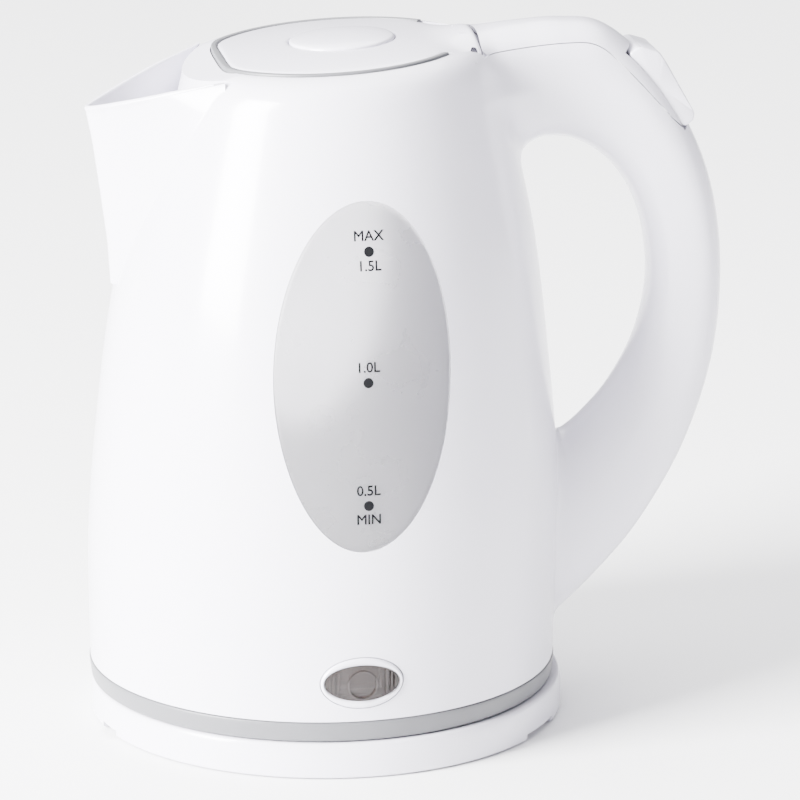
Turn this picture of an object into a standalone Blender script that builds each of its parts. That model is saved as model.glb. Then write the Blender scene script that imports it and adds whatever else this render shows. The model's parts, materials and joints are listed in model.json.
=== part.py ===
"""Cordless electric kettle: a jug with its lid, handle and switch, standing on a round power base.

Metres, +Z up. Everything hangs from an empty on the jug's axis at table level, with +X towards
the handle, -X towards the spout, and -Y the side that carries the indicator lamp.
"""

import math

import bmesh
import bpy
from mathutils import Vector

# ---- overall -------------------------------------------------------------------------------
FRONT_REACH = 0.0720            # grey band, in front of the jug's axis
HANDLE_REACH = 0.1239           # back of the handle, behind the jug's axis
AXIS_X = (FRONT_REACH - HANDLE_REACH) / 2
GAP = 0.0003                    # between neighbouring pieces
ROUND = 48                      # steps round the jug
SMALL_ROUND = 14                # steps round a small turned piece
CUT = 0.004                     # how far a cutter runs past what it cuts

# ---- power base ----------------------------------------------------------------------------
BASE_OFFSET = 0.0014
BASE_RADIUS = 0.0729
BASE_TOP = 0.0112
BASE_WALL = 0.0022
BASE_NOTCH = 0.0015             # height of the reliefs in the skirt's lower edge
FOOT_HEIGHT = 0.0012
FOOT_CIRCLE = 0.056
POST_RADIUS = 0.0118            # socket post that the jug's plug drops over
POST_TOP = 0.0222
GLAND_ANGLE = math.radians(90)  # where the cord leaves, on the side away from the lamp

# ---- jug -----------------------------------------------------------------------------------
BAND_BOTTOM = 0.0117
BODY_BOTTOM = 0.0179
FLOOR_TOP = 0.0440
FLOOR_BOTTOM = 0.0401
JUG_WALL = 0.0024
# height, how far the section's centre sits towards the handle, radius
JUG_STATIONS = (
    (0.0179, 0.0000, 0.0717),
    (0.0360, 0.0001, 0.0720),
    (0.0550, 0.0004, 0.0722),
    (0.0750, 0.0011, 0.0716),
    (0.0950, 0.0015, 0.0700),
    (0.1140, 0.0017, 0.0679),
    (0.1330, 0.0022, 0.0654),
    (0.1510, 0.0028, 0.0624),
    (0.1680, 0.0034, 0.0584),
    (0.1850, 0.0040, 0.0541),
    (0.2000, 0.0045, 0.0502),
)
SHOULDER = ((0.2034, 0.0491), (0.2056, 0.0474), (0.2069, 0.0450), (0.2073, 0.0415))
SHOULDER_CENTRE = 0.0045
CAVITY_TOP = ((0.1950, 0.0488), (0.1990, 0.0455), (0.2012, 0.0395))
TILT_FROM = 0.185               # above this height the sections lean with the lid

# ---- lid: a tilted circle with a flat front and a tongue that runs back to the handle ------------
LID_X = 0.0042
LID_Z = 0.2073
LID_SLOPE = 0.06
LID_RADIUS = 0.0400
LID_CHORD = 0.0355              # from the lid's centre to its flat front edge
TONGUE_END = 0.0421
TONGUE_SIDE = math.radians(35)  # where the tongue leaves the circle
TONGUE_CORNER = math.radians(23.9)
TONGUE_ROOM = 0.0190            # half width of the room for the tongue's end
LID_STEPS = 72
TRAY_STEPS = 36
LID_FIT = 0.0004
RING_WIDTH = 0.0019
RING_HEIGHT = 0.0007
LID_SKIN = 0.0020
LID_SKIRT = 0.0033
TONGUE_SKIN = 0.0014
LIP_WIDTH = 0.0012              # lip round the button's hole in the lid
LIP_DEPTH = 0.0040
BUTTON_U = 0.0028               # the button sits a little behind the lid's centre
BUTTON_RADIUS = 0.0159
BUTTON_PROUD = 0.0013
HINGE_X = 0.0441
HINGE_Z = 0.2080
PIN_RADIUS = 0.0010
EAR_RADIUS = 0.0016

# ---- spout ---------------------------------------------------------------------------------
SPOUT_FOOT = 0.1370
SPOUT_HEAD = 0.2090
SPOUT_WALL = 0.0019
SPOUT_NOSE = 0.0035
SPOUT_FRONT = ((0.137, 0.0640), (0.150, 0.0648), (0.166, 0.0668), (0.182, 0.0693), (0.191, 0.0716),
               (0.209, 0.0772))
SPOUT_HALF_ANGLE = math.radians(37)
SPOUT_CREASE_TOP = 0.2030
RIM_FRONT = (-0.0716, 0.1912)
RIM_REAR = (-0.0368, 0.2030)
BRIDGE_RADIUS = 0.0480          # where the joined spout ends behind its opening
# height and radius of the wall's front face between the lid and the spout's opening
BRIDGE = ((0.1940, 0.0503), (0.1952, 0.0494), (0.2010, 0.0462), (0.2150, 0.0450))

# ---- handle: where its back and its finger side run, and its half width -----------------------
HANDLE_STATIONS = (
    ((0.0440, 0.2112), (0.0440, 0.1860), 0.0192),
    ((0.0490, 0.2118), (0.0490, 0.1850), 0.0175),
    ((0.0615, 0.2134), (0.0610, 0.1770), 0.0152),
    ((0.0740, 0.2140), (0.0690, 0.1781), 0.0140),
    ((0.0870, 0.2120), (0.0780, 0.1769), 0.0136),
    ((0.1000, 0.2010), (0.0875, 0.1710), 0.0134),
    ((0.1131, 0.1812), (0.0955, 0.1605), 0.0132),
    ((0.1210, 0.1600), (0.1003, 0.1460), 0.0130),
    ((0.1239, 0.1345), (0.1013, 0.1300), 0.0130),
    ((0.1215, 0.1070), (0.0976, 0.1135), 0.0132),
    ((0.1125, 0.0790), (0.0900, 0.0992), 0.0138),
    ((0.0985, 0.0546), (0.0815, 0.0894), 0.0146),
    ((0.0840, 0.0379), (0.0745, 0.0838), 0.0158),
    ((0.0720, 0.0270), (0.0670, 0.0805), 0.0172),
    ((0.0640, 0.0210), (0.0610, 0.0785), 0.0180),
)
HANDLE_WALL = 0.0023
HANDLE_TAPER = 0.12
HANDLE_SQUARENESS = 2.5
HANDLE_POINTS = 16
# lower edge of the top cover, seen from the side
COVER_SEAM = ((0.0430, 0.2066), (0.0650, 0.2084), (0.0743, 0.2088), (0.0804, 0.2085), (0.0850, 0.2066),
              (0.0897, 0.2025), (0.0959, 0.1961), (0.1006, 0.1910), (0.1069, 0.1840))

# ---- switch: its own axes, from the top of its opening down the handle's back, and outwards ------
SWITCH_TOP = Vector((0.0939, 0.0, 0.2066))
SWITCH_ALONG = Vector((0.606, 0.0, -0.795)).normalized()
SWITCH_OUT = Vector((0.795, 0.0, 0.606)).normalized()
ROCKER_PIVOT = (0.016, -0.004)
ROCKER_HALF_WIDTH = 0.0102
ROCKER_LENGTH = 0.0312
COVER_LENGTH = 0.0296           # how far the top cover runs along the switch
LEVER_PIVOT = (0.0085, -0.0098)

# ---- windows and lamp -----------------------------------------------------------------------
WINDOW_SHIFT = 0.0015            # from the section's centre, towards the handle
WINDOW_LOW = 0.0707
WINDOW_HIGH = 0.1729
WINDOW_HALF_WIDTH = 0.0262
WINDOW_STEPS = 32
LENS_X = 0.0016
LENS_Z = 0.0299
LENS_HALF_WIDTH = 0.0124
LENS_HALF_HEIGHT = 0.0078

# ---- heater and electrical parts ------------------------------------------------------------
PLATE_TOP = 0.0386
COIL_RADIUS = 0.034
COIL_TUBE = 0.0031
FILTER_TILT = math.radians(15.2)
FILTER_X = -0.0480
FILTER_Z = 0.1700


# ---- scene helpers ---------------------------------------------------------------------------
def clear_scene():
    for obj in list(bpy.data.objects):
        bpy.data.objects.remove(obj, do_unlink=True)


def new_collection(name):
    collection = bpy.data.collections.new(name)
    bpy.context.scene.collection.children.link(collection)
    return collection


def material(name, colour, roughness, metallic=0.0, alpha=1.0, transmission=0.0):
    made = bpy.data.materials.new(name)
    made.use_nodes = True
    shader = made.node_tree.nodes["Principled BSDF"]
    shader.inputs["Base Color"].default_value = (*colour, 1.0)
    shader.inputs["Roughness"].default_value = roughness
    shader.inputs["Metallic"].default_value = metallic
    shader.inputs["Alpha"].default_value = alpha
    shader.inputs["Transmission Weight"].default_value = transmission
    made.diffuse_color = (*colour, alpha)
    return made


clear_scene()
PARTS = new_collection("electric_kettle")
CUTTERS = new_collection("cutters")

WHITE = material("white_gloss_plastic", (0.86, 0.86, 0.88), 0.22)
GREY = material("grey_trim_plastic", (0.44, 0.44, 0.46), 0.35)
CLEAR = material("clear_window_plastic", (0.85, 0.87, 0.89), 0.18, alpha=0.45, transmission=0.6)
SMOKE = material("smoked_lens_plastic", (0.36, 0.30, 0.29), 0.12, alpha=0.5, transmission=0.6)
STEEL = material("stainless_steel", (0.62, 0.62, 0.63), 0.28, metallic=1.0)
ALUMINIUM = material("aluminium", (0.72, 0.72, 0.74), 0.38, metallic=1.0)
BRASS = material("brass", (0.72, 0.56, 0.27), 0.30, metallic=1.0)
BLACK = material("black_plastic", (0.03, 0.03, 0.03), 0.42)
RUBBER = material("grey_rubber", (0.22, 0.22, 0.23), 0.75)
SILICONE = material("white_silicone", (0.80, 0.80, 0.80), 0.6)
LAMP_GLASS = material("neon_glass", (0.90, 0.55, 0.40), 0.10, alpha=0.6)
WIRE = material("wire_insulation", (0.55, 0.12, 0.08), 0.5)


def empty(name, parent=None, location=(0, 0, 0), rotation=(0, 0, 0)):
    made = bpy.data.objects.new(name, None)
    made.parent = parent
    made.location = location
    made.rotation_euler = rotation
    PARTS.objects.link(made)
    return made


KETTLE = empty("kettle_axis", location=(AXIS_X, 0, 0))
LID_TILT = (0, -math.atan(LID_SLOPE), 0)
LID_HINGE = empty("lid_hinge_axis", KETTLE, (HINGE_X, 0, HINGE_Z))
LID = empty("lid_centre", LID_HINGE, (LID_X - HINGE_X, 0, LID_Z - HINGE_Z), LID_TILT)


def place(name, mesh, look, parent=KETTLE, location=(0, 0, 0), rotation=(0, 0, 0), angle=35):
    """A part's object, smooth except across edges sharper than the angle in degrees."""
    obj = bpy.data.objects.new(name, mesh)
    obj.parent = parent
    obj.location = location
    obj.rotation_euler = rotation
    mesh.materials.append(look)
    mesh.shade_smooth()
    mesh.set_sharp_from_angle(angle=math.radians(angle))
    PARTS.objects.link(obj)
    return obj


def cutter(name, mesh, parent=KETTLE, location=(0, 0, 0), rotation=(0, 0, 0)):
    obj = bpy.data.objects.new(name, mesh)
    obj.parent = parent
    obj.location = location
    obj.rotation_euler = rotation
    obj.hide_render = True
    obj.display_type = 'WIRE'
    CUTTERS.objects.link(obj)
    return obj


def combine(obj, other, operation):
    modifier = obj.modifiers.new(f"{operation.lower()}_{other.name}", 'BOOLEAN')
    modifier.operation = operation
    modifier.solver = 'EXACT'
    modifier.object = other


def cut(obj, *others):
    for other in others:
        combine(obj, other, 'DIFFERENCE')


def join(obj, *others):
    for other in others:
        combine(obj, other, 'UNION')


def keep_inside(obj, *others):
    for other in others:
        combine(obj, other, 'INTERSECT')


def finished(bm, name):
    bmesh.ops.recalc_face_normals(bm, faces=bm.faces)
    mesh = bpy.data.meshes.new(name)
    bm.to_mesh(mesh)
    bm.free()
    return mesh


# ---- mesh helpers ----------------------------------------------------------------------------
def loft(name, rings, closed=False):
    """A solid through rings of points; its ends are capped with fans unless the rings form a loop."""
    bm = bmesh.new()
    rows = [[bm.verts.new(point) for point in ring] for ring in rings]
    count = len(rings[0])
    pairs = list(zip(rows, rows[1:]))
    if closed:
        pairs.append((rows[-1], rows[0]))
    for low, high in pairs:
        for step in range(count):
            after = (step + 1) % count
            bm.faces.new((low[step], low[after], high[after], high[step]))
    if not closed:
        for row, ring in ((rows[0], rings[0]), (rows[-1], rings[-1])):
            centre = bm.verts.new(sum((Vector(point) for point in ring), Vector()) / count)
            for step in range(count):
                bm.faces.new((row[step], row[(step + 1) % count], centre))
    return finished(bm, name)


def prism(name, outline, low, high, axis='Z'):
    """A flat outline pushed along an axis: (x, y) along Z, or (x, z) along Y."""
    if axis == 'Z':
        rings = [[(x, y, level) for x, y in outline] for level in (low, high)]
    else:
        rings = [[(x, level, z) for x, z in outline] for level in (low, high)]
    bm = bmesh.new()
    rows = [[bm.verts.new(point) for point in ring] for ring in rings]
    for step in range(len(outline)):
        after = (step + 1) % len(outline)
        bm.faces.new((rows[0][step], rows[0][after], rows[1][after], rows[1][step]))
    bm.faces.new(rows[0])
    bm.faces.new(rows[1])
    return finished(bm, name)


def turned(name, profile, steps=SMALL_ROUND, hollow=False):
    """A body turned about Z from (radius, height) points running down its outer side."""
    mesh = bpy.data.meshes.new(name)
    edges = [(step, step + 1) for step in range(len(profile) - 1)]
    if hollow:
        edges.append((len(profile) - 1, 0))
    mesh.from_pydata([(radius, 0, height) for radius, height in profile], edges, [])
    turning = bpy.data.objects.new(f"{name}_turning", mesh)
    CUTTERS.objects.link(turning)
    screw = turning.modifiers.new("turn", 'SCREW')
    screw.steps = steps
    screw.render_steps = steps
    screw.use_merge_vertices = True
    screw.merge_threshold = 0.00001
    bpy.context.view_layer.update()
    result = bpy.data.meshes.new_from_object(turning.evaluated_get(bpy.context.evaluated_depsgraph_get()))
    bpy.data.objects.remove(turning, do_unlink=True)
    bm = bmesh.new()
    bm.from_mesh(result)
    return finished(bm, name)


def ring_profile(inner, outer, low, high):
    return ((inner, high), (outer, high), (outer, low), (inner, low))


def washer(name, inner, outer, low, high, steps=SMALL_ROUND):
    return turned(name, ring_profile(inner, outer, low, high), steps, hollow=True)


def disc(name, radius, low, high, steps=SMALL_ROUND):
    return turned(name, ((0, high), (radius, high), (radius, low), (0, low)), steps)


def block(name, size, centre=(0, 0, 0), bevel=0.0):
    bm = bmesh.new()
    bmesh.ops.create_cube(bm, size=1.0)
    bmesh.ops.scale(bm, vec=size, verts=bm.verts)
    bmesh.ops.translate(bm, vec=centre, verts=bm.verts)
    if bevel:
        bmesh.ops.bevel(bm, geom=bm.edges[:], offset=bevel, segments=2, affect='EDGES', profile=0.5)
    return finished(bm, name)


def rod(name, radius, start, end, steps=16):
    """A straight round bar between two points."""
    start = Vector(start)
    along = Vector(end) - start
    bm = bmesh.new()
    bmesh.ops.create_cone(bm, cap_ends=True, segments=steps, radius1=radius, radius2=radius,
                          depth=along.length)
    turn = Vector((0, 0, 1)).rotation_difference(along).to_matrix()
    bmesh.ops.rotate(bm, matrix=turn, verts=bm.verts)
    bmesh.ops.translate(bm, vec=start + along / 2, verts=bm.verts)
    return finished(bm, name)


def wire(name, points, radius, resolution=2):
    """A bent round wire through the points, as a closed mesh."""
    curve = bpy.data.curves.new(name, 'CURVE')
    curve.dimensions = '3D'
    curve.bevel_depth = radius
    curve.bevel_resolution = resolution
    curve.use_fill_caps = True
    spline = curve.splines.new('POLY')
    spline.points.add(len(points) - 1)
    for point, place_at in zip(spline.points, points):
        point.co = (*place_at, 1)
    route = bpy.data.objects.new(f"{name}_route", curve)
    CUTTERS.objects.link(route)
    bpy.context.view_layer.update()
    result = bpy.data.meshes.new_from_object(route.evaluated_get(bpy.context.evaluated_depsgraph_get()))
    bpy.data.objects.remove(route, do_unlink=True)
    bm = bmesh.new()
    bm.from_mesh(result)
    bmesh.ops.remove_doubles(bm, verts=bm.verts, dist=0.00001)
    return finished(bm, name)


def smooth_path(points, steps):
    """Points along a Catmull-Rom curve through the given ones."""
    points = [Vector(point) for point in points]
    padded = [2 * points[0] - points[1]] + points + [2 * points[-1] - points[-2]]
    path = []
    for index in range(1, len(padded) - 2):
        before, start, end, after = padded[index - 1:index + 3]
        for step in range(steps):
            t = step / steps
            path.append(0.5 * (2 * start + (end - before) * t
                               + (2 * before - 5 * start + 4 * end - after) * t ** 2
                               + (3 * start - before - 3 * end + after) * t ** 3))
    path.append(points[-1])
    return path


def between(table, value):
    """Straight-line reading of a table of rows that start with the value looked up."""
    rows = sorted(table)
    if value <= rows[0][0]:
        return rows[0][1:]
    for low, high in zip(rows, rows[1:]):
        if value <= high[0]:
            share = (value - low[0]) / (high[0] - low[0])
            return tuple(a + share * (b - a) for a, b in zip(low[1:], high[1:]))
    return rows[-1][1:]


def ease(low, high, value):
    share = min(max((value - low) / (high - low), 0.0), 1.0)
    return share * share * (3 - 2 * share)


def turns_of(steps):
    return [2 * math.pi * step / steps for step in range(steps)]


def ellipse(centre_x, centre_y, half_width, half_height, steps):
    return [(centre_x + half_width * math.cos(turn), centre_y + half_height * math.sin(turn))
            for turn in turns_of(steps)]


# ---- the jug's shape -----------------------------------------------------------------------
def jug_ring(height, centre, radius):
    lean = LID_SLOPE * ease(TILT_FROM, LID_Z, height)
    ring = []
    for turn in turns_of(ROUND):
        x = centre + radius * math.cos(turn)
        ring.append((x, radius * math.sin(turn), height + lean * (x - LID_X)))
    return ring


def jug_outer(name, inset=0.0, extra_low=0.0):
    """The jug as a solid of revolution that leans towards the handle, without spout or handle."""
    rings = [jug_ring(height, centre, radius - inset) for height, centre, radius in JUG_STATIONS]
    if extra_low:
        height, centre, radius = JUG_STATIONS[0]
        rings.insert(0, jug_ring(height - extra_low, centre, radius - inset))
    rings += [jug_ring(height - inset, SHOULDER_CENTRE, radius - inset) for height, radius in SHOULDER]
    return loft(name, rings)


def jug_cavity(name):
    """The water space: the jug's shape less its wall, closed under the shoulder."""
    levels = [FLOOR_TOP + 0.0030] + [row[0] for row in JUG_STATIONS if FLOOR_TOP + 0.004 < row[0] < 0.19]
    rings = [jug_ring(FLOOR_TOP, 0.0, 0.0665)]
    for height in levels:
        centre, radius = between(JUG_STATIONS, height)
        rings.append(jug_ring(height, centre, radius - JUG_WALL))
    rings += [jug_ring(height, SHOULDER_CENTRE, radius) for height, radius in CAVITY_TOP]
    return loft(name, rings)


def spout_section(height, wall):
    """Nose of the spout at one height, a rounded V between its two creases on the jug."""
    centre, radius = between(JUG_STATIONS, min(height, 0.2))
    share = min((height - SPOUT_FOOT + 0.004) / (SPOUT_CREASE_TOP - SPOUT_FOOT), 1.12)
    half_angle = SPOUT_HALF_ANGLE * share
    crease_x = centre - radius * math.cos(half_angle)
    crease_y = radius * math.sin(half_angle)
    front = -between(SPOUT_FRONT, height)[0]
    spread = math.sqrt(crease_y ** 2 + SPOUT_NOSE ** 2) - SPOUT_NOSE
    slope = max(crease_x - front, 0.0004) / spread
    shrink = wall * (math.sqrt(1 + slope ** 2) - 1) / max(slope, 0.05)
    nose = max(SPOUT_NOSE - shrink, 0.0006)
    reach = crease_y * 1.06
    shares = (-1, -0.75, -0.5, -0.3, -0.14, 0, 0.14, 0.3, 0.5, 0.75, 1)
    points = []
    for part in shares:
        y = reach * part
        points.append((front + wall + slope * (math.sqrt(y ** 2 + nose ** 2) - nose), y, height))
    rear = centre - radius * 0.55 + 2 * wall
    points += [(rear, reach * 0.7, height), (rear, -reach * 0.7, height)]
    return points


def spout_solid(name, wall=0.0, top=SPOUT_HEAD, bottom=SPOUT_FOOT):
    levels = [bottom + (top - bottom) * step / 10 for step in range(11)]
    return loft(name, [spout_section(level, wall) for level in levels])


def above_spout_rim(name):
    """Everything above the slanting plane that the spout's rim and the bridge behind it lie in."""
    slope = (RIM_REAR[1] - RIM_FRONT[1]) / (RIM_REAR[0] - RIM_FRONT[0])
    left, right = -0.09, -0.025
    low_left = RIM_FRONT[1] + slope * (left - RIM_FRONT[0])
    low_right = RIM_FRONT[1] + slope * (right - RIM_FRONT[0])
    outline = ((left, low_left), (right, low_right), (right, 0.25), (left, 0.25))
    return prism(name, outline, -0.06, 0.06, axis='Y')


# ---- the handle's shape -----------------------------------------------------------------------
def handle_rings(inset, first, last):
    """Rounded sections square to the handle's run, between two of its stations."""
    backs = smooth_path([(x, 0, z) for (x, z), _, _ in HANDLE_STATIONS], 2)
    fronts = smooth_path([(x, 0, z) for _, (x, z), _ in HANDLE_STATIONS], 2)
    widths = smooth_path([(0, width, 0) for _, _, width in HANDLE_STATIONS], 2)
    rings = []
    for back, front, width in list(zip(backs, fronts, widths))[first:last]:
        middle = (back + front) / 2
        half = (back - front) / 2
        half *= 1 - inset / half.length
        half_width = width.y - inset
        ring = []
        for turn in turns_of(HANDLE_POINTS):
            power = 2 / HANDLE_SQUARENESS
            u = math.copysign(abs(math.cos(turn)) ** power, math.cos(turn))
            v = math.copysign(abs(math.sin(turn)) ** power, math.sin(turn))
            side = v * half_width * (1 + HANDLE_TAPER * u)
            ring.append(middle + half * u + Vector((0, side, 0)))
        rings.append(ring)
    return rings


def handle_solid(name, inset=0.0, first=0, last=None):
    return loft(name, handle_rings(inset, first, last))


def over_seam(name, spread=0.0):
    """The space above the top cover's lower edge, down to where that edge meets the switch."""
    end = switch_point(COVER_LENGTH + spread, -0.0026 - spread)
    far = switch_point(COVER_LENGTH + spread, 0.0300)
    outline = [(x, z - spread) for x, z in COVER_SEAM]
    outline += [(end.x, end.z), (far.x, far.z), (0.1400, 0.2400), (0.0430, 0.2400)]
    return prism(name, outline, -0.04, 0.04, axis='Y')


# ---- the lid's shape ---------------------------------------------------------------------------
def tongue_half_width(u):
    start_u = LID_RADIUS * math.cos(TONGUE_SIDE)
    start_v = LID_RADIUS * math.sin(TONGUE_SIDE)
    end_v = TONGUE_END * math.tan(TONGUE_CORNER)
    share = (u - start_u) / (TONGUE_END - start_u)
    return start_v + (end_v - start_v) * share


def lid_reach(turn):
    """Distance from the lid's centre to its edge, with the chord's corners rounded."""
    turn = math.atan2(math.sin(turn), math.cos(turn))
    if abs(turn) <= TONGUE_CORNER:
        return TONGUE_END / math.cos(turn)
    if abs(turn) < TONGUE_SIDE:
        start_u = LID_RADIUS * math.cos(TONGUE_SIDE)
        start_v = LID_RADIUS * math.sin(TONGUE_SIDE)
        run = (TONGUE_END - start_u, TONGUE_END * math.tan(TONGUE_CORNER) - start_v)
        cos, sin = math.cos(abs(turn)), math.sin(abs(turn))
        return (start_u * run[1] - start_v * run[0]) / (cos * run[1] - sin * run[0])
    if math.cos(turn) < 0:
        chord = LID_CHORD / -math.cos(turn)
        sharpness = 28
        return (LID_RADIUS ** -sharpness + chord ** -sharpness) ** (-1 / sharpness)
    return LID_RADIUS


def lid_outline(offset):
    points = []
    for turn in turns_of(LID_STEPS):
        reach = lid_reach(turn) + offset
        points.append((reach * math.cos(turn), reach * math.sin(turn)))
    return points


def lid_height(u, v):
    """Top of the lid above its seam: a low dome that runs out into a crowned tongue."""
    dome = 0.0026 - 0.0021 * (math.hypot(u, v) / 0.038) ** 2
    blend = ease(0.027, TONGUE_END, u)
    if blend == 0:
        return dome
    share = min(abs(v) / tongue_half_width(u), 1.0)
    return (1 - blend) * dome + blend * (0.0024 - 0.0042 * share ** 2.2)


def lid_cap(name):
    """The lid's white top skin with its skirt, open in the middle for the button."""
    rings = []
    edge = []
    for turn in turns_of(LID_STEPS):
        inset = RING_WIDTH + GAP if abs(math.atan2(math.sin(turn), math.cos(turn))) > TONGUE_SIDE else 0
        edge.append((lid_reach(turn) - inset, turn))
    hole = BUTTON_RADIUS + 0.0004

    def ring(share, rise=0.0):
        points = []
        for reach, turn in edge:
            start = Vector((BUTTON_U + hole * math.cos(turn), hole * math.sin(turn)))
            end = Vector((reach * math.cos(turn), reach * math.sin(turn)))
            u, v = start.lerp(end, share)
            points.append((u, v, lid_height(u, v) + rise))
        return points

    def lower_edge(inset, tongue_drop, drop):
        """The skirt's foot, or under the tongue just its thin skin, drawn in a little at the sides."""
        points = []
        for reach, turn in edge:
            on_tongue = abs(math.atan2(math.sin(turn), math.cos(turn))) < TONGUE_SIDE
            reach -= inset + (TONGUE_SKIN if on_tongue else 0.0)
            u, v = reach * math.cos(turn), reach * math.sin(turn)
            level = lid_height(u, v) - (tongue_drop if on_tongue else LID_SKIN)
            points.append((u, v, level if on_tongue or not drop else -LID_SKIRT))
        return points

    def widened(points, radius):
        return [(BUTTON_U + (x - BUTTON_U) * radius / hole, y * radius / hole, z) for x, y, z in points]

    lip = hole + LIP_WIDTH
    rings = [ring(0.0, -LIP_DEPTH), ring(0.0), ring(0.6), ring(1.0, -0.0006),
             lower_edge(0.0, TONGUE_SKIN, True), lower_edge(LID_SKIN, TONGUE_SKIN, True),
             lower_edge(LID_SKIN, TONGUE_SKIN + 0.0001, False), widened(ring(0.0, -LID_SKIN), lip),
             widened(ring(0.0, -LIP_DEPTH), lip)]
    return loft(name, rings, closed=True)


def hinge_clearance(name):
    """What the back of the tongue sweeps through as the lid swings, turned about the hinge."""
    profile = []
    for step in range(13):
        y = TONGUE_ROOM * (step / 6 - 1)
        v = min(abs(y), tongue_half_width(TONGUE_END))
        top = LID_Z + LID_SLOPE * TONGUE_END + lid_height(TONGUE_END, v)
        radius = math.hypot(LID_X + TONGUE_END - HINGE_X, max(top - HINGE_Z, 0.0016)) + 0.0004
        profile.append((radius, y))
    profile = [(0, profile[0][1])] + profile + [(0, profile[-1][1])]
    return turned(name, profile[::-1], 48)


# ---- power base -------------------------------------------------------------------------------
def make_base():
    axis = (BASE_OFFSET, 0, 0)
    low = 0.0004
    profile = (
        (0.0150, 0.0108), (0.0640, 0.0106), (BASE_RADIUS - 0.0022, BASE_TOP),
        (BASE_RADIUS - 0.0008, BASE_TOP - 0.0003), (BASE_RADIUS - 0.0002, BASE_TOP - 0.0012),
        (BASE_RADIUS, BASE_TOP - 0.0030), (BASE_RADIUS, low), (BASE_RADIUS - BASE_WALL, low),
        (BASE_RADIUS - BASE_WALL, 0.0080), (0.0180, 0.0080), (0.0180, 0.0050), (0.0150, 0.0050),
    )
    shell = place("base_shell", turned("base_shell", profile, ROUND, hollow=True), WHITE, location=axis)
    reliefs = ((-22, 13), (196, 8))
    for number, (middle, width) in enumerate(reliefs):
        angle = math.radians(middle)
        size = (0.012, 2 * BASE_RADIUS * math.sin(math.radians(width / 2)), 2 * BASE_NOTCH)
        where = (BASE_OFFSET + BASE_RADIUS * math.cos(angle), BASE_RADIUS * math.sin(angle), low)
        notch = cutter(f"skirt_relief_{number + 1}", block("skirt_relief", size), location=where,
                       rotation=(0, 0, angle))
        cut(shell, notch)
    gland_at = (BASE_OFFSET + (BASE_RADIUS - 0.001) * math.cos(GLAND_ANGLE),
                (BASE_RADIUS - 0.001) * math.sin(GLAND_ANGLE), 0.0042)
    turn = (0, 0, GLAND_ANGLE)
    cut(shell, cutter("gland_slot", block("gland_slot", (0.009, 0.0096, 0.0090), (0, 0, -0.0009)),
                      location=gland_at, rotation=turn))
    cut(shell, cutter("post_hole", disc("post_hole", 0.0156, 0.002, 0.012, 28)))

    make_gland(gland_at, turn)
    plate = turned("base_plate", ((0, 0.0030), (BASE_RADIUS - BASE_WALL - GAP, 0.0030),
                                  (BASE_RADIUS - BASE_WALL - GAP, 0.0015), (0, 0.0015)), 36)
    plate = place("base_plate", plate, WHITE, location=axis)
    cut(plate, cutter("gland_room", block("gland_room", (0.026, 0.0104, 0.006), (-0.004, 0, -0.003)),
                      location=gland_at, rotation=turn))
    for number in range(4):
        angle = math.radians(45 + 90 * number)
        where = (BASE_OFFSET + FOOT_CIRCLE * math.cos(angle), FOOT_CIRCLE * math.sin(angle), 0)
        foot = turned("base_foot", ((0, FOOT_HEIGHT), (0.0058, FOOT_HEIGHT), (0.0054, 0.0), (0, 0.0)))
        place(f"base_foot_{number + 1}", foot, RUBBER, location=where)
    for number in range(3):
        angle = math.radians(7 + 120 * number)
        where = (BASE_OFFSET + 0.040 * math.cos(angle), 0.040 * math.sin(angle), 0)
        hole = cutter(f"base_screw_hole_{number + 1}", disc("screw_hole", 0.0021, 0.0, 0.004), location=where)
        boss = cutter(f"base_boss_{number + 1}", washer("base_boss", 0.0019, 0.0040, 0.0034, 0.0085),
                      location=where)
        cut(plate, hole)
        join(shell, boss)
        place(f"base_screw_{number + 1}", screw_shape("base_screw", 0.0034, 0.0006, 0.0012, 0.0016, 0.0078),
              STEEL, location=where)


def screw_shape(name, head_radius, low, under_head, shank_radius, tip):
    """A pan-head screw standing point up, with a round recess in its head."""
    profile = ((0, tip), (shank_radius, tip - 0.0014), (shank_radius, under_head),
               (head_radius, under_head), (head_radius * 0.86, low), (head_radius * 0.42, low),
               (head_radius * 0.42, low + 0.0004), (0, low + 0.0004))
    return turned(name, profile, 12)


def make_gland(where, turn):
    """Cord outlet in the skirt and the clamp behind it, both open along the cord's path."""
    outer = block("cord_gland", (0.0062, 0.0090, 0.0074), (-0.0022, 0, -0.0003), 0.0006)
    gland = place("cord_gland", outer, BLACK, location=where, rotation=turn)
    bore = cutter("gland_bore", rod("gland_bore", 0.0031, (-0.02, 0, -0.0002), (0.02, 0, -0.0002)),
                  location=where, rotation=turn)
    cut(gland, bore)
    clamp = place("cord_clamp", block("cord_clamp", (0.0060, 0.0140, 0.0044), (-0.0090, 0, 0.0014)),
                  BLACK, location=where, rotation=turn)
    cut(clamp, bore)


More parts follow.
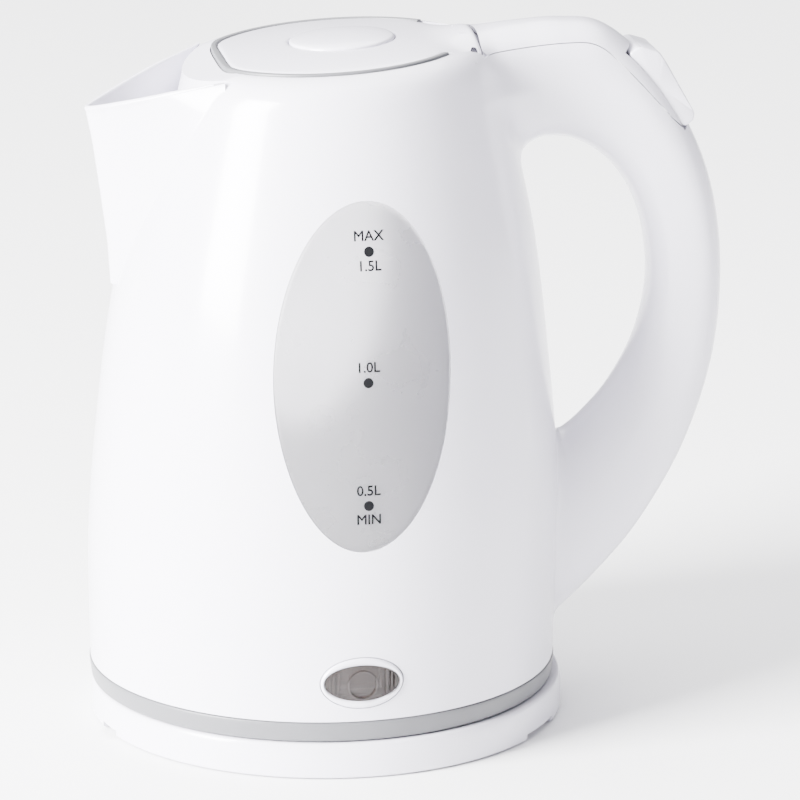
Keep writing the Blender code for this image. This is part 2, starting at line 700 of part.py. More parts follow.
def make_socket():
    """Socket post with two ring slots and its three contacts, and the collar that turns with the jug."""
    profile = (
        (0, 0.0100), (0.0020, 0.0100), (0.0020, POST_TOP - 0.0006), (0.0026, POST_TOP),
        (0.0054, POST_TOP), (0.0054, 0.0100), (0.0070, 0.0100), (0.0070, POST_TOP - 0.0020),
        (0.0090, POST_TOP - 0.0020), (0.0090, 0.0100), (0.0104, 0.0100), (0.0104, POST_TOP - 0.0040),
        (POST_RADIUS - 0.0004, POST_TOP - 0.0040), (POST_RADIUS, POST_TOP - 0.0048),
        (POST_RADIUS, 0.0066), (0.0146, 0.0066), (0.0146, 0.0040), (0, 0.0040),
    )
    place("socket_housing", turned("socket_housing", profile, 20), BLACK)
    place("socket_contact_centre", disc("socket_contact_centre", 0.0016, 0.0103, 0.0128), BRASS)
    place("socket_contact_inner", washer("socket_contact_inner", 0.0057, 0.0067, 0.0103, 0.0130), BRASS)
    place("socket_contact_outer", washer("socket_contact_outer", 0.0093, 0.0101, 0.0103, 0.0130), BRASS)
    profile = ((0.0123, 0.0123), (0.0176, 0.0123), (0.0180, 0.0119), (0.0180, 0.0112), (0.0123, 0.0112))
    place("swivel_collar", turned("swivel_collar", profile, 24, hollow=True), GREY)


# ---- jug pieces --------------------------------------------------------------------------------
def window_prism(name, grow, side):
    outline = [(x + between(JUG_STATIONS, z)[0], z)
               for x, z in ellipse(WINDOW_SHIFT, (WINDOW_LOW + WINDOW_HIGH) / 2, WINDOW_HALF_WIDTH + grow,
                                   (WINDOW_HIGH - WINDOW_LOW) / 2 + grow, WINDOW_STEPS)]
    low, high = sorted((side * 0.045, side * 0.09))
    return cutter(name, prism(name, outline, low, high, axis='Y'))


def lens_prism(name, grow, low=-0.09, high=-0.055):
    outline = ellipse(LENS_X, LENS_Z, LENS_HALF_WIDTH + grow, LENS_HALF_HEIGHT + grow, 24)
    return cutter(name, prism(name, outline, low, high, axis='Y'))


def make_jug(cavity):
    """The white moulding: jug wall, floor ledge, spout and the hollow handle in one piece."""
    jug = place("jug_body", jug_outer("jug_body"), WHITE, angle=40)
    cut(jug, cavity)
    cut(jug, cutter("lower_room", disc("lower_room", 0.0693, BODY_BOTTOM - CUT, FLOOR_BOTTOM, ROUND)))
    floor_hole = disc("floor_hole", 0.0490, FLOOR_BOTTOM - CUT, FLOOR_TOP + CUT, 32)
    cut(jug, cutter("floor_hole", floor_hole, rotation=(0, 0, math.radians(2))))

    core = cutter("jug_core", jug_outer("jug_core", inset=0.0012, extra_low=CUT))
    join(jug, spout_shell(core))
    cut(jug, cutter("rim_cut", above_spout_rim("rim_cut")))
    cut_bridge(jug)
    cut_lid_seat(jug)
    join(jug, handle_shell(core))
    cut_hinge_room(jug)
    cut_pouring_hole(jug)
    cut(jug, window_prism("window_hole_near", GAP, -1), window_prism("window_hole_far", GAP, 1))
    cut(jug, lens_prism("lens_hole", GAP))
    steam = rod("steam_hole", 0.0040, (0.045, 0, 0.1905), (0.066, 0, 0.1905))
    cut(jug, cutter("steam_hole", steam))
    cut(jug, cutter("wire_hole", rod("wire_hole", 0.0030, (0.0640, 0, 0.0325), (0.0775, 0, 0.0425))))


def spout_shell(core):
    """The spout's two walls and nose; behind them it stays solid up to the bridge before the lid."""
    channel = cutter("spout_channel", spout_solid("spout_channel", SPOUT_WALL, SPOUT_HEAD + CUT,
                                                  SPOUT_FOOT + 0.0035))
    bridge = disc("bridge", BRIDGE_RADIUS, 0.19, 0.22, ROUND)
    cut(channel, cutter("bridge", bridge, location=(SHOULDER_CENTRE, 0, 0), rotation=(0, 0, math.radians(2))))
    spout = cutter("spout_shell", spout_solid("spout_shell"))
    cut(spout, channel, core)
    return spout


def cut_bridge(jug):
    """Slopes the wall's front face back from the spout's opening to the edge of the bridge."""
    face = spout_solid("bridge_face", SPOUT_WALL + 0.0007, SPOUT_HEAD + 2 * CUT, BRIDGE[0][0])
    face = cutter("bridge_face", face)
    core = loft("bridge_core", [jug_ring(height, SHOULDER_CENTRE, radius) for height, radius in BRIDGE])
    cut(face, cutter("bridge_core", core))
    cut(jug, face)


def handle_shell(core):
    """The hollow handle without its top cover and without what would reach into the jug."""
    handle = cutter("handle_shell", handle_solid("handle_shell"))
    cut(handle, cutter("handle_inside", handle_solid("handle_inside", HANDLE_WALL, 4, -2)))
    cut(handle, cutter("cover_room", over_seam("cover_room", GAP)), rocker_opening("handle_opening"), core)
    return handle


def cut_lid_seat(jug):
    """Recess for the lid and the opening under it."""
    recess = prism("lid_recess", lid_outline(LID_FIT), -0.0038, 0.02)
    cut(jug, cutter("lid_recess", recess, LID))
    mouth = []
    for turn in turns_of(TRAY_STEPS):
        reach = min(lid_reach(turn), LID_RADIUS) - 0.0024
        mouth.append((reach * math.cos(turn), reach * math.sin(turn)))
    cut(jug, cutter("jug_mouth", prism("jug_mouth", mouth, -0.012, 0.004), LID))


def cut_hinge_room(jug):
    """Room for the tongue and all it sweeps through, for the bracket and for the latch."""
    side = [(0.0270, -0.0236), (0.0270, 0.0236), (TONGUE_END + LID_FIT, TONGUE_ROOM),
            (TONGUE_END + LID_FIT, -TONGUE_ROOM)]
    room = cutter("hinge_room", hinge_clearance("hinge_room"), LID_HINGE, rotation=(math.radians(-90), 0, 0))
    join(room, cutter("tongue_room", prism("tongue_room", side, -0.0056, 0.02), LID))
    cut(jug, room)
    bracket = block("bracket_room", (0.0082, 0.0204, 0.0079), (0.0005, 0, -0.0010))
    cut(jug, cutter("bracket_room", bracket, LID_HINGE))
    latch = block("latch_pocket", (0.0070, 0.0106, 0.0140), (-0.0342, 0, 0.0006))
    cut(jug, cutter("latch_pocket", latch, LID))


def cut_pouring_hole(jug):
    """Opening in the jug's wall behind the spout, narrower towards its foot."""
    outline = ((-0.0040, -0.0135), (0.0040, -0.0135), (0.0100, -0.0010), (0.0130, 0.0090), (0.0130, 0.0140),
               (0.0095, 0.0180), (-0.0095, 0.0180), (-0.0130, 0.0140), (-0.0130, 0.0090), (-0.0100, -0.0010))
    rings = [[(x, y, z) for y, z in outline] for x in (-0.0030, 0.0080)]
    cut(jug, cutter("pouring_hole", loft("pouring_hole", rings), location=(FILTER_X - 0.006, 0, FILTER_Z),
                    rotation=(0, FILTER_TILT, 0)))


def make_windows(cavity):
    for name, side in (("window_near", -1), ("window_far", 1)):
        pane = place(name, jug_outer(name), CLEAR, angle=40)
        cut(pane, cavity)
        keep_inside(pane, window_prism(f"{name}_outline", 0.0, side))


def make_bottom():
    """Grey band round the jug's foot, and the cover that closes its underside."""
    band = ((0.0655, 0.0220), (0.0688, 0.0220), (0.0688, 0.0176), (0.0718, 0.0176), (0.0720, 0.0168),
            (0.0714, BAND_BOTTOM), (0.0655, BAND_BOTTOM))
    place("trim_band", turned("trim_band", band, ROUND, hollow=True), GREY)
    cover = turned("bottom_cover", ring_profile(0.0212, 0.0652, 0.0127, 0.0147), 36, hollow=True)
    cover = place("bottom_cover", cover, WHITE)
    for number in range(3):
        angle = math.radians(32 + 120 * number)
        where = (0.050 * math.cos(angle), 0.050 * math.sin(angle), 0)
        hole = disc("cover_hole", 0.0021, 0.011, 0.016)
        cut(cover, cutter(f"cover_screw_hole_{number + 1}", hole, location=where))
        screw = screw_shape("bottom_screw", 0.0032, 0.0118, 0.0124, 0.0016, 0.0230)
        place(f"bottom_screw_{number + 1}", screw, STEEL, location=where)


def make_heater():
    """Steel floor of the water space, its seal and clamp, and the sheathed element beneath it."""
    dish = ((0, PLATE_TOP), (0.0570, PLATE_TOP), (0.0570, PLATE_TOP - 0.0009), (0, PLATE_TOP - 0.0009))
    place("element_plate", turned("element_plate", dish, 36), STEEL)
    seal = washer("element_seal", 0.0500, 0.0560, PLATE_TOP + GAP, FLOOR_BOTTOM - GAP, 32)
    place("element_seal", seal, SILICONE)
    clamp = washer("element_clamp_ring", 0.0480, 0.0625, 0.0356, PLATE_TOP - 0.0012, 32)
    place("element_clamp_ring", clamp, ALUMINIUM)
    place("heat_spreader", disc("heat_spreader", 0.0440, 0.0362, PLATE_TOP - 0.0012, 32), ALUMINIUM)
    level = 0.0362 - GAP - COIL_TUBE
    path = []
    for step in range(21):
        turn = math.radians(28 + 304 * step / 20)
        path.append((COIL_RADIUS * math.cos(turn), COIL_RADIUS * math.sin(turn), level))
    start, end = Vector(path[0]), Vector(path[-1])
    path = [start + Vector((0.0005, -0.0020, -0.0070)), start + Vector((0.0002, -0.0010, -0.0020))] + path
    path += [end + Vector((0.0002, 0.0010, -0.0020)), end + Vector((0.0005, 0.0020, -0.0070))]
    place("heating_element", wire("heating_element", path, COIL_TUBE, 1), ALUMINIUM)


def make_control():
    """Control under the heater: housing with the plug's well, its pin and rings, and the dry-boil disc."""
    housing = (
        (0, 0.0335), (0.0185, 0.0335), (0.0200, 0.0320), (0.0200, 0.0151), (0.0135, 0.0151),
        (0.0135, 0.0240), (0, 0.0240),
    )
    place("control_housing", turned("control_housing", housing, 28), BLACK)
    place("dry_boil_disc", turned("dry_boil_disc", ((0, 0.0348), (0.0060, 0.0345), (0.0095, 0.0340),
                                                    (0.0095, 0.0337), (0.0060, 0.0342), (0, 0.0345))), STEEL)
    pin = turned("plug_pin", ((0, 0.0237), (0.0016, 0.0237), (0.0016, 0.0142), (0.0008, 0.0134), (0, 0.0134)))
    place("plug_pin", pin, BRASS)
    place("plug_ring_inner", washer("plug_ring_inner", 0.0058, 0.0066, 0.0135, 0.0237), BRASS)
    place("plug_ring_outer", washer("plug_ring_outer", 0.0093, 0.0101, 0.0136, 0.0237), BRASS)


def make_lamp():
    """Oval lens low on the near side, with the lamp and its holder behind it."""
    lens = place("indicator_lens", lens_shape("indicator_lens"), SMOKE)
    keep_inside(lens, lens_prism("lens_outline", 0.0))
    holder = block("lamp_holder", (0.0190, 0.0080, 0.0110), (LENS_X, -0.0615, LENS_Z), 0.0008)
    holder = place("lamp_holder", holder, BLACK)
    well = cutter("lamp_well", block("lamp_well", (0.0130, 0.0060, 0.0070), (LENS_X, -0.0645, LENS_Z)))
    cut(holder, well)
    bulb = rod("neon_lamp", 0.0024, (LENS_X - 0.0055, -0.0642, LENS_Z), (LENS_X + 0.0055, -0.0642, LENS_Z))
    place("neon_lamp", bulb, LAMP_GLASS)


def lens_shape(name):
    """A shallow dome over the lamp's opening that stands a little proud of the jug."""
    outer, inner = 0.0727, 0.0702
    profile = ((inner, LENS_Z + 0.012), (outer - 0.0011, LENS_Z + 0.012), (outer - 0.0006, LENS_Z + 0.007),
               (outer, LENS_Z + 0.003), (outer, LENS_Z - 0.003), (outer - 0.0006, LENS_Z - 0.007),
               (outer - 0.0011, LENS_Z - 0.012), (inner, LENS_Z - 0.012))
    return turned(name, profile, ROUND, hollow=True)


def make_filter():
    """Strainer that clips inside the jug behind the spout: a frame and its sheet with slots."""
    outer = [(-0.0165, -0.0205), (0.0165, -0.0205), (0.0165, 0.0160), (0.0120, 0.0205), (-0.0120, 0.0205),
             (-0.0165, 0.0160)]
    inner = [(y * 0.84, z * 0.86) for y, z in outer]
    where = (FILTER_X + 0.0034, 0, FILTER_Z)
    turn = (0, FILTER_TILT, 0)
    frame_rings = [[(x, y, z) for y, z in outer] for x in (0.0, 0.0026)]
    frame = place("filter_frame", loft("filter_frame", frame_rings), WHITE, location=where, rotation=turn)
    hole_rings = [[(x, y, z) for y, z in inner] for x in (-CUT, CUT)]
    cut(frame, cutter("filter_window", loft("filter_window", hole_rings), location=where, rotation=turn))
    sheet_rings = [[(x, y * 0.97, z * 0.97) for y, z in inner] for x in (0.0009, 0.0015)]
    sheet = place("filter_mesh", loft("filter_mesh", sheet_rings), STEEL, location=where, rotation=turn)
    for number in range(5):
        slot = block("mesh_slot", (CUT, 0.0022, 0.0240), (0.0012, -0.0092 + 0.0046 * number, -0.0010))
        cut(sheet, cutter(f"mesh_slot_{number + 1}", slot, location=where, rotation=turn))


# ---- handle pieces -----------------------------------------------------------------------------
def switch_point(along, out):
    return SWITCH_TOP + SWITCH_ALONG * along + SWITCH_OUT * out


def switch_prism(name, outline, half_width):
    """An outline in the switch's own axes, pushed sideways; it comes back about the given origin."""
    points = [switch_point(along, out) for along, out in outline]
    return prism(name, [(point.x, point.z) for point in points], -half_width, half_width, axis='Y')


def shifted(mesh, origin):
    for vertex in mesh.vertices:
        vertex.co -= Vector(origin)
    return mesh


def rocker_opening(name):
    """The slot that the rocker moves in, through the top cover and the handle's end of it."""
    opening = ((0.0002, -0.014), (0.0002, 0.010), (ROCKER_LENGTH, 0.010), (ROCKER_LENGTH, -0.014))
    return cutter(name, switch_prism(name, opening, ROCKER_HALF_WIDTH + 0.0004))


def make_cover():
    """Top cover of the handle, from the lid's tongue to the end of the switch."""
    cover = place("handle_cover", handle_solid("handle_cover"), WHITE, angle=40)
    cut(cover, cutter("cover_inside", handle_solid("cover_inside", HANDLE_WALL - 0.0002, 3, -2)))
    keep_inside(cover, cutter("over_seam", over_seam("over_seam")))
    cut(cover, cutter("jug_clearance", jug_outer("jug_clearance", inset=-0.0004)))
    sweep = hinge_clearance("cover_sweep")
    cut(cover, cutter("cover_sweep", sweep, LID_HINGE, rotation=(math.radians(-90), 0, 0)))
    nose = block("cover_nose", (0.020, 0.06, 0.06), (LID_X + TONGUE_END + 0.0004 - 0.010, 0, 0.215))
    cut(cover, cutter("cover_nose", nose))
    cut(cover, rocker_opening("cover_opening"))


def make_switch():
    """Rocker in the handle's back, its pin, and the steam switch under it with lever and disc."""
    pivot = switch_point(*ROCKER_PIVOT)
    outline = ((0.0015, -0.0022), (0.0016, 0.0012), (0.0036, 0.0037), (0.0066, 0.0053), (0.0085, 0.0051),
               (0.0290, 0.0026), (0.0303, 0.0018), (0.0306, 0.0002), (0.0304, -0.0022), (0.0205, -0.0034),
               (0.0188, -0.0066), (0.0160, -0.0076), (0.0132, -0.0066), (0.0115, -0.0034))
    rocker = shifted(switch_prism("rocker_switch", outline, ROCKER_HALF_WIDTH), pivot)
    rocker = place("rocker_switch", rocker, WHITE, location=pivot)
    bore = cutter("rocker_bore", rod("rocker_bore", 0.0015, (0, -0.02, 0), (0, 0.02, 0)), location=pivot)
    cut(rocker, bore)
    place("rocker_pin", rod("rocker_pin", 0.0011, (0, -0.0101, 0), (0, 0.0101, 0)), STEEL, location=pivot)

    lever_at = switch_point(*LEVER_PIVOT)
    lever = ((0.0072, -0.0108), (0.0072, -0.0088), (0.0150, -0.0084), (0.0156, -0.0088), (0.0150, -0.0106))
    lever = shifted(switch_prism("trip_lever", lever, 0.0030), lever_at)
    place("trip_lever", lever, BLACK, location=lever_at)
    body = ((0.0030, -0.0215), (0.0030, -0.0122), (0.0185, -0.0122), (0.0185, -0.0215))
    place("steam_switch", switch_prism("steam_switch", body, 0.0080), BLACK)
    disc_at = switch_point(0.0018, -0.0168)
    tilt = Vector((0, 0, 1)).rotation_difference(SWITCH_ALONG).to_euler()
    place("steam_disc", disc("steam_disc", 0.0050, -0.0003, 0.0003), STEEL, location=disc_at, rotation=tilt)
    tube = washer("steam_tube", 0.0024, 0.0036, -0.0080, 0.0080)
    place("steam_tube", tube, SILICONE, location=(0.0620, 0, 0.1905), rotation=(0, math.radians(90), 0))


def make_wiring():
    """Insulated pair from the lower room up through the handle to the steam switch."""
    route = ((0.0590, 0, 0.0310), (0.0672, 0, 0.0348), (0.0750, 0, 0.0408), (0.0860, 0, 0.0600),
             (0.1000, 0, 0.0850), (0.1085, 0, 0.1100), (0.1115, 0, 0.1320), (0.1090, 0, 0.1520),
             (0.1010, 0, 0.1690), (0.0935, 0, 0.1775))
    place("handle_wires", wire("handle_wires", smooth_path(route, 2), 0.0014, 1), WIRE)


# ---- lid pieces --------------------------------------------------------------------------------
def make_lid():
    shell = place("lid_shell", lid_cap("lid_shell"), WHITE, parent=LID, angle=40)
    pivot = Vector((HINGE_X, 0, HINGE_Z))
    lug = cutter("hinge_lug", lug_shape("hinge_lug", 0.0022, 0.0068), LID_HINGE)
    join(shell, lug)
    cut(shell, cutter("pin_hole", rod("pin_hole", PIN_RADIUS + GAP, (0, -0.02, 0), (0, 0.02, 0)), LID_HINGE))

    make_trim_ring()
    make_lid_base()
    place("lid_hinge_pin", rod("lid_hinge_pin", PIN_RADIUS, (0, -0.0098, 0), (0, 0.0098, 0)), STEEL,
          location=pivot)
    make_hinge_bracket(pivot)


def lug_shape(name, radius, half_width):
    """Knuckle round the hinge pin with a web up to the tongue's skin."""
    outline = [(radius * math.cos(math.radians(a)), radius * math.sin(math.radians(a)))
               for a in range(180, 361, 30)]
    outline += [(radius, 0.0012), (radius * 0.5, 0.0036), (-radius, 0.0036)]
    return prism(name, outline, -half_width, half_width, axis='Y')


def make_hinge_bracket(pivot):
    """Two ears for the pin on a bar that sits on the rear ledge of the jug's mouth."""
    turns = [math.radians(angle) for angle in range(-90, 181, 30)]
    ear = [(EAR_RADIUS * math.cos(turn), EAR_RADIUS * math.sin(turn)) for turn in turns]
    ear += [(-0.0028, -0.0028), (-0.0028, -0.0046), (0.0004, -0.0046)]
    rings = [[(x, y, z) for x, z in ear] for y in (-0.0092, 0.0092)]
    bracket = place("lid_hinge_bracket", loft("lid_hinge_bracket", rings), WHITE, location=pivot)
    gap = block("lug_room", (0.012, 0.0144, 0.0092), (0, 0, 0.0018))
    cut(bracket, cutter("lug_room", gap, location=pivot))
    bore = rod("bracket_bore", PIN_RADIUS + GAP, (0, -0.02, 0), (0, 0.02, 0))
    cut(bracket, cutter("bracket_bore", bore, location=pivot))


def make_trim_ring():
    """Grey strip round the lid from one side of the tongue to the other."""
    first = TONGUE_SIDE + math.radians(5.5)
    steps = 56
    rings = []
    for step in range(steps + 1):
        turn = first + (2 * math.pi - 2 * first) * step / steps
        outer = lid_reach(turn)
        inner = outer - RING_WIDTH
        cos, sin = math.cos(turn), math.sin(turn)
        rings.append([(inner * cos, inner * sin, -LID_SKIRT), (inner * cos, inner * sin, RING_HEIGHT),
                      (outer * cos, outer * sin, RING_HEIGHT), (outer * cos, outer * sin, -LID_SKIRT)])
    place("lid_trim_ring", loft("lid_trim_ring", rings), GREY, parent=LID, angle=30)


def make_lid_base():
    """Tray under the lid that reaches into the jug's mouth and carries spring and latch."""
    top = -LID_SKIRT - GAP
    rim = lid_reach(math.pi) - 0.0034
    rings = []
    for level, inset in ((-0.0088, 0.0038), (top, 0.0034), (top, 0.0054), (-0.0072, 0.0056)):
        ring = []
        for turn in turns_of(TRAY_STEPS):
            reach = min(lid_reach(turn), LID_RADIUS, 0.0372 / max(math.cos(turn), 0.01)) - inset
            ring.append((reach * math.cos(turn), reach * math.sin(turn), level))
        rings.append(ring)
    tray = place("lid_base", loft("lid_base", rings), WHITE, parent=LID)
    seat = washer("spring_seat", 0.0024, 0.0040, -0.0080, -0.0058)
    join(tray, cutter("spring_seat", seat, LID, (BUTTON_U, 0, 0)))
    slot = block("latch_slot", (0.012, 0.0106, 0.0026), (-rim, 0, -0.0049))
    cut(tray, cutter("latch_slot", slot, LID))
    vent = block("steam_vent", (0.0022, 0.0140, 0.006), (0.0250, 0, -0.0080))
    cut(tray, cutter("steam_vent", vent, LID))


def make_button():
    """Round button with its guide post, the return spring round the post, and the latch it draws back."""
    top = 0.0026 + BUTTON_PROUD
    profile = ((0, top), (0.0110, top - 0.0004), (0.0148, top - 0.0011), (BUTTON_RADIUS, top - 0.0026),
               (BUTTON_RADIUS, -0.0006), (BUTTON_RADIUS - 0.0014, -0.0006),
               (BUTTON_RADIUS - 0.0014, top - 0.0034), (0.0020, top - 0.0032), (0.0020, -0.0034),
               (0, -0.0034))
    place("lid_button", turned("lid_button", profile, 36), WHITE, parent=LID, location=(BUTTON_U, 0, 0))
    points = []
    turns, steps = 4, 10
    low, high = -0.0066, 0.0002
    for step in range(turns * steps + 1):
        turn = 2 * math.pi * step / steps
        height = low + (high - low) * step / (turns * steps)
        points.append((0.0052 * math.cos(turn), 0.0052 * math.sin(turn), height))
    place("button_spring", wire("button_spring", points, 0.0004, 0), STEEL, parent=LID,
          location=(BUTTON_U, 0, 0))
    front = -(LID_CHORD + BUTTON_U) - 0.0013
    outline = ((-0.0086, 0.0048), (-0.0086, -0.0048), (front + 0.0010, -0.0048), (front, -0.0036),
               (front, 0.0036), (front + 0.0010, 0.0048))
    place("lid_latch", prism("lid_latch", outline, -0.0058, -0.0040), GREY, parent=LID,
          location=(BUTTON_U, 0, 0))


def main():
    make_base()
    make_socket()
    cavity = cutter("water_space", jug_cavity("water_space"))
    make_jug(cavity)
    make_windows(cavity)
    make_bottom()
    make_heater()
    make_control()
    make_lamp()
    make_filter()
    make_cover()
    make_switch()
    make_wiring()
    make_lid()
    make_button()


main()
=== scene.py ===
"""Looks of the cordless electric kettle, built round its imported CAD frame.

Lengths are in metres. Shapes are worked out about the jug's axis, with +X towards the handle and
-Y towards the indicator lamp, and every piece is then moved to that axis in the frame.
"""

import json
from math import atan, atan2, copysign, cos, hypot, pi, radians, sin, sqrt, tan

import bmesh
import bpy
import numpy as np
from mathutils import Matrix, Vector


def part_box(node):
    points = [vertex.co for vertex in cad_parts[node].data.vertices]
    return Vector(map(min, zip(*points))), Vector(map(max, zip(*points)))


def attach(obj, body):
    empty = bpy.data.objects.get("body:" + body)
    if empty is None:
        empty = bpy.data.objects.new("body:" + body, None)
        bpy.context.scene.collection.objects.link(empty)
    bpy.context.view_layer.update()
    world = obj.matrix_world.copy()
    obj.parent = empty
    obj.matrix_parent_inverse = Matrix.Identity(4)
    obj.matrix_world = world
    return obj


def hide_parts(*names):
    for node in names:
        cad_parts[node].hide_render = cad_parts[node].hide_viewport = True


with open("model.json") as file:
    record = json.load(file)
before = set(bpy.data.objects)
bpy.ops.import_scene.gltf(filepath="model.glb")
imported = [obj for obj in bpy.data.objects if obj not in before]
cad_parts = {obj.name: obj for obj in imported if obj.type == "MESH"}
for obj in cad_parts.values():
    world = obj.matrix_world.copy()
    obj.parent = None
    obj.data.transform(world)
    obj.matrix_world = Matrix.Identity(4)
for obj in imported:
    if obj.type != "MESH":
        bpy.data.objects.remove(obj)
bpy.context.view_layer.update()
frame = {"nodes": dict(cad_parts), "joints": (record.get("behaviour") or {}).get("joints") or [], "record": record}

# ---- where things are, read from the frame ----
BAND_LOW, BAND_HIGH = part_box("trim_band")
AXIS_X = (BAND_LOW.x + BAND_HIGH.x) / 2
BAND_RADIUS = (BAND_HIGH.x - BAND_LOW.x) / 2
BAND_BOTTOM = BAND_LOW.z
SHELL_LOW, SHELL_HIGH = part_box("base_shell")
BASE_X = (SHELL_LOW.x + SHELL_HIGH.x) / 2 - AXIS_X
BASE_RADIUS = (SHELL_HIGH.x - SHELL_LOW.x) / 2
BASE_TOP = SHELL_HIGH.z
BODY_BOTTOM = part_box("jug_body")[0].z
WINDOW_LOW, WINDOW_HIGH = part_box("window_near")
LENS_LOW, LENS_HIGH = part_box("indicator_lens")
JOINT_AT = {joint["name"]: joint.get("pos_m") for joint in frame["joints"]}
HINGE_X = JOINT_AT["lid_hinge"][0] - AXIS_X
HINGE_Z = JOINT_AT["lid_hinge"][2]

# ---- the jug's form ----
GAP = 0.0003
JUG_WALL = 0.0024
FLOOR_TOP = 0.0440
FLOOR_BOTTOM = 0.0401
# height, how far the section's centre sits towards the handle, radius
JUG_STATIONS = (
    (0.0100, 0.0000, 0.0716), (0.0179, 0.0000, 0.0717), (0.0360, 0.0001, 0.0720), (0.0550, 0.0004, 0.0722),
    (0.0750, 0.0011, 0.0716), (0.0950, 0.0015, 0.0700), (0.1140, 0.0017, 0.0679), (0.1330, 0.0022, 0.0654),
    (0.1510, 0.0028, 0.0624), (0.1680, 0.0034, 0.0584), (0.1850, 0.0040, 0.0541), (0.2000, 0.0045, 0.0500),
    (0.2160, 0.0045, 0.0456),
)
SHOULDER_ROUNDING = 0.0085
CAVITY_TOP = ((0.1900, 0.0466), (0.1950, 0.0450), (0.1990, 0.0432), (0.2012, 0.0385))

# ---- lid ----
LID_X = 0.0042
LID_Z = 0.2073
LID_SLOPE = 0.06
LID_RADIUS = 0.0400
LID_CHORD = 0.0355
TONGUE_END = 0.0421
TONGUE_SIDE = radians(35)
TONGUE_CORNER = radians(23.9)
TONGUE_ROOM = 0.0190
TONGUE_RISE = 0.0011
LID_FIT = 0.0004
RING_WIDTH = 0.0019
RING_HEIGHT = 0.0007
BUTTON_U = 0.0028
BUTTON_RADIUS = 0.0159
BUTTON_PROUD = 0.0013

# ---- spout ----
SPOUT_FOOT = 0.1370
SPOUT_HEAD = 0.2090
SPOUT_WALL = 0.0019
SPOUT_NOSE = 0.0035
SPOUT_FRONT = ((0.137, 0.0640), (0.150, 0.0648), (0.166, 0.0668), (0.182, 0.0690), (0.191, 0.0708),
               (0.209, 0.0758))
SPOUT_HALF_ANGLE = radians(37)
SPOUT_CREASE_TOP = 0.2030
RIM_FRONT = (-0.0716, 0.1912)
RIM_REAR = (-0.0368, 0.2030)
# above these heights the jug's side and its creases with the spout are read as at the top
SIDE_TOP = 0.2
CREASE_HIGH = 0.2035
CREASE_X = -0.0360
# height and radius of the front face of the wall between the lid and the spout's opening
BRIDGE = ((0.1880, 0.0507), (0.1905, 0.0488), (0.1950, 0.0472), (0.2010, 0.0458), (0.2150, 0.0450))

# ---- handle: where its back and its finger side run, and its half width ----
HANDLE_STATIONS = (
    ((0.0440, 0.2112), (0.0440, 0.1860), 0.0192),
    ((0.0490, 0.2118), (0.0490, 0.1850), 0.0175),
    ((0.0615, 0.2134), (0.0610, 0.1770), 0.0152),
    ((0.0740, 0.2140), (0.0690, 0.1781), 0.0140),
    ((0.0870, 0.2120), (0.0780, 0.1769), 0.0136),
    ((0.1000, 0.2010), (0.0875, 0.1710), 0.0134),
    ((0.1131, 0.1812), (0.0955, 0.1605), 0.0132),
    ((0.1210, 0.1600), (0.1003, 0.1460), 0.0130),
    ((0.1239, 0.1345), (0.1013, 0.1300), 0.0130),
    ((0.1215, 0.1070), (0.0976, 0.1135), 0.0132),
    ((0.1125, 0.0790), (0.0900, 0.0992), 0.0138),
    ((0.0985, 0.0546), (0.0815, 0.0894), 0.0146),
    ((0.0840, 0.0379), (0.0745, 0.0838), 0.0158),
    ((0.0720, 0.0270), (0.0670, 0.0805), 0.0172),
    ((0.0640, 0.0210), (0.0610, 0.0785), 0.0180),
)
HANDLE_WALL = 0.0023
HANDLE_TAPER = 0.12
HANDLE_SQUARENESS = 2.5
# height, and how softly the handle runs into the jug there: a fillet above, a near crease below
FILLETS = ((0.060, 0.002), (0.110, 0.006), (0.160, 0.006), (0.184, 0.007), (0.195, 0.014),
           (0.206, 0.003))
COVER_SEAM = ((0.0430, 0.2066), (0.0650, 0.2084), (0.0743, 0.2088), (0.0804, 0.2085), (0.0850, 0.2066),
              (0.0897, 0.2025), (0.0959, 0.1961), (0.1006, 0.1910), (0.1069, 0.1840))
COVER_LENGTH = 0.0296
SWITCH_TOP = Vector((0.0939, 0.0, 0.2066))
SWITCH_ALONG = Vector((0.606, 0.0, -0.795)).normalized()
SWITCH_OUT = Vector((0.795, 0.0, 0.606)).normalized()
ROCKER_HALF_WIDTH = 0.0102
ROCKER_LENGTH = 0.0312


# ---- small mesh tools ----
def finished(bm, name):
    bmesh.ops.recalc_face_normals(bm, faces=bm.faces)
    mesh = bpy.data.meshes.new(name)
    bm.to_mesh(mesh)
    bm.free()
    return mesh


def walled(bm, low, high):
    """Faces between two rows of corners; a row of a single corner gives triangles."""
    steps = max(len(low), len(high))
    for step in range(steps):
        after = (step + 1) % steps
        corners = (low[step % len(low)], low[after % len(low)],
                   high[after % len(high)], high[step % len(high)])
        bm.faces.new(list(dict.fromkeys(corners)))


def loft(name, rings, closed=False):
    """A solid through rings of points; its ends are capped with fans unless the rings form a loop."""
    bm = bmesh.new()
    rows = [[bm.verts.new(point) for point in ring] for ring in rings]
    count = len(rings[0])
    pairs = list(zip(rows, rows[1:]))
    if closed:
        pairs.append((rows[-1], rows[0]))
    for low, high in pairs:
        walled(bm, low, high)
    if not closed:
        for row, ring in ((rows[0], rings[0]), (rows[-1], rings[-1])):
            centre = bm.verts.new(sum((Vector(point) for point in ring), Vector()) / count)
            for step in range(count):
                bm.faces.new((row[step], row[(step + 1) % count], centre))
    return finished(bm, name)


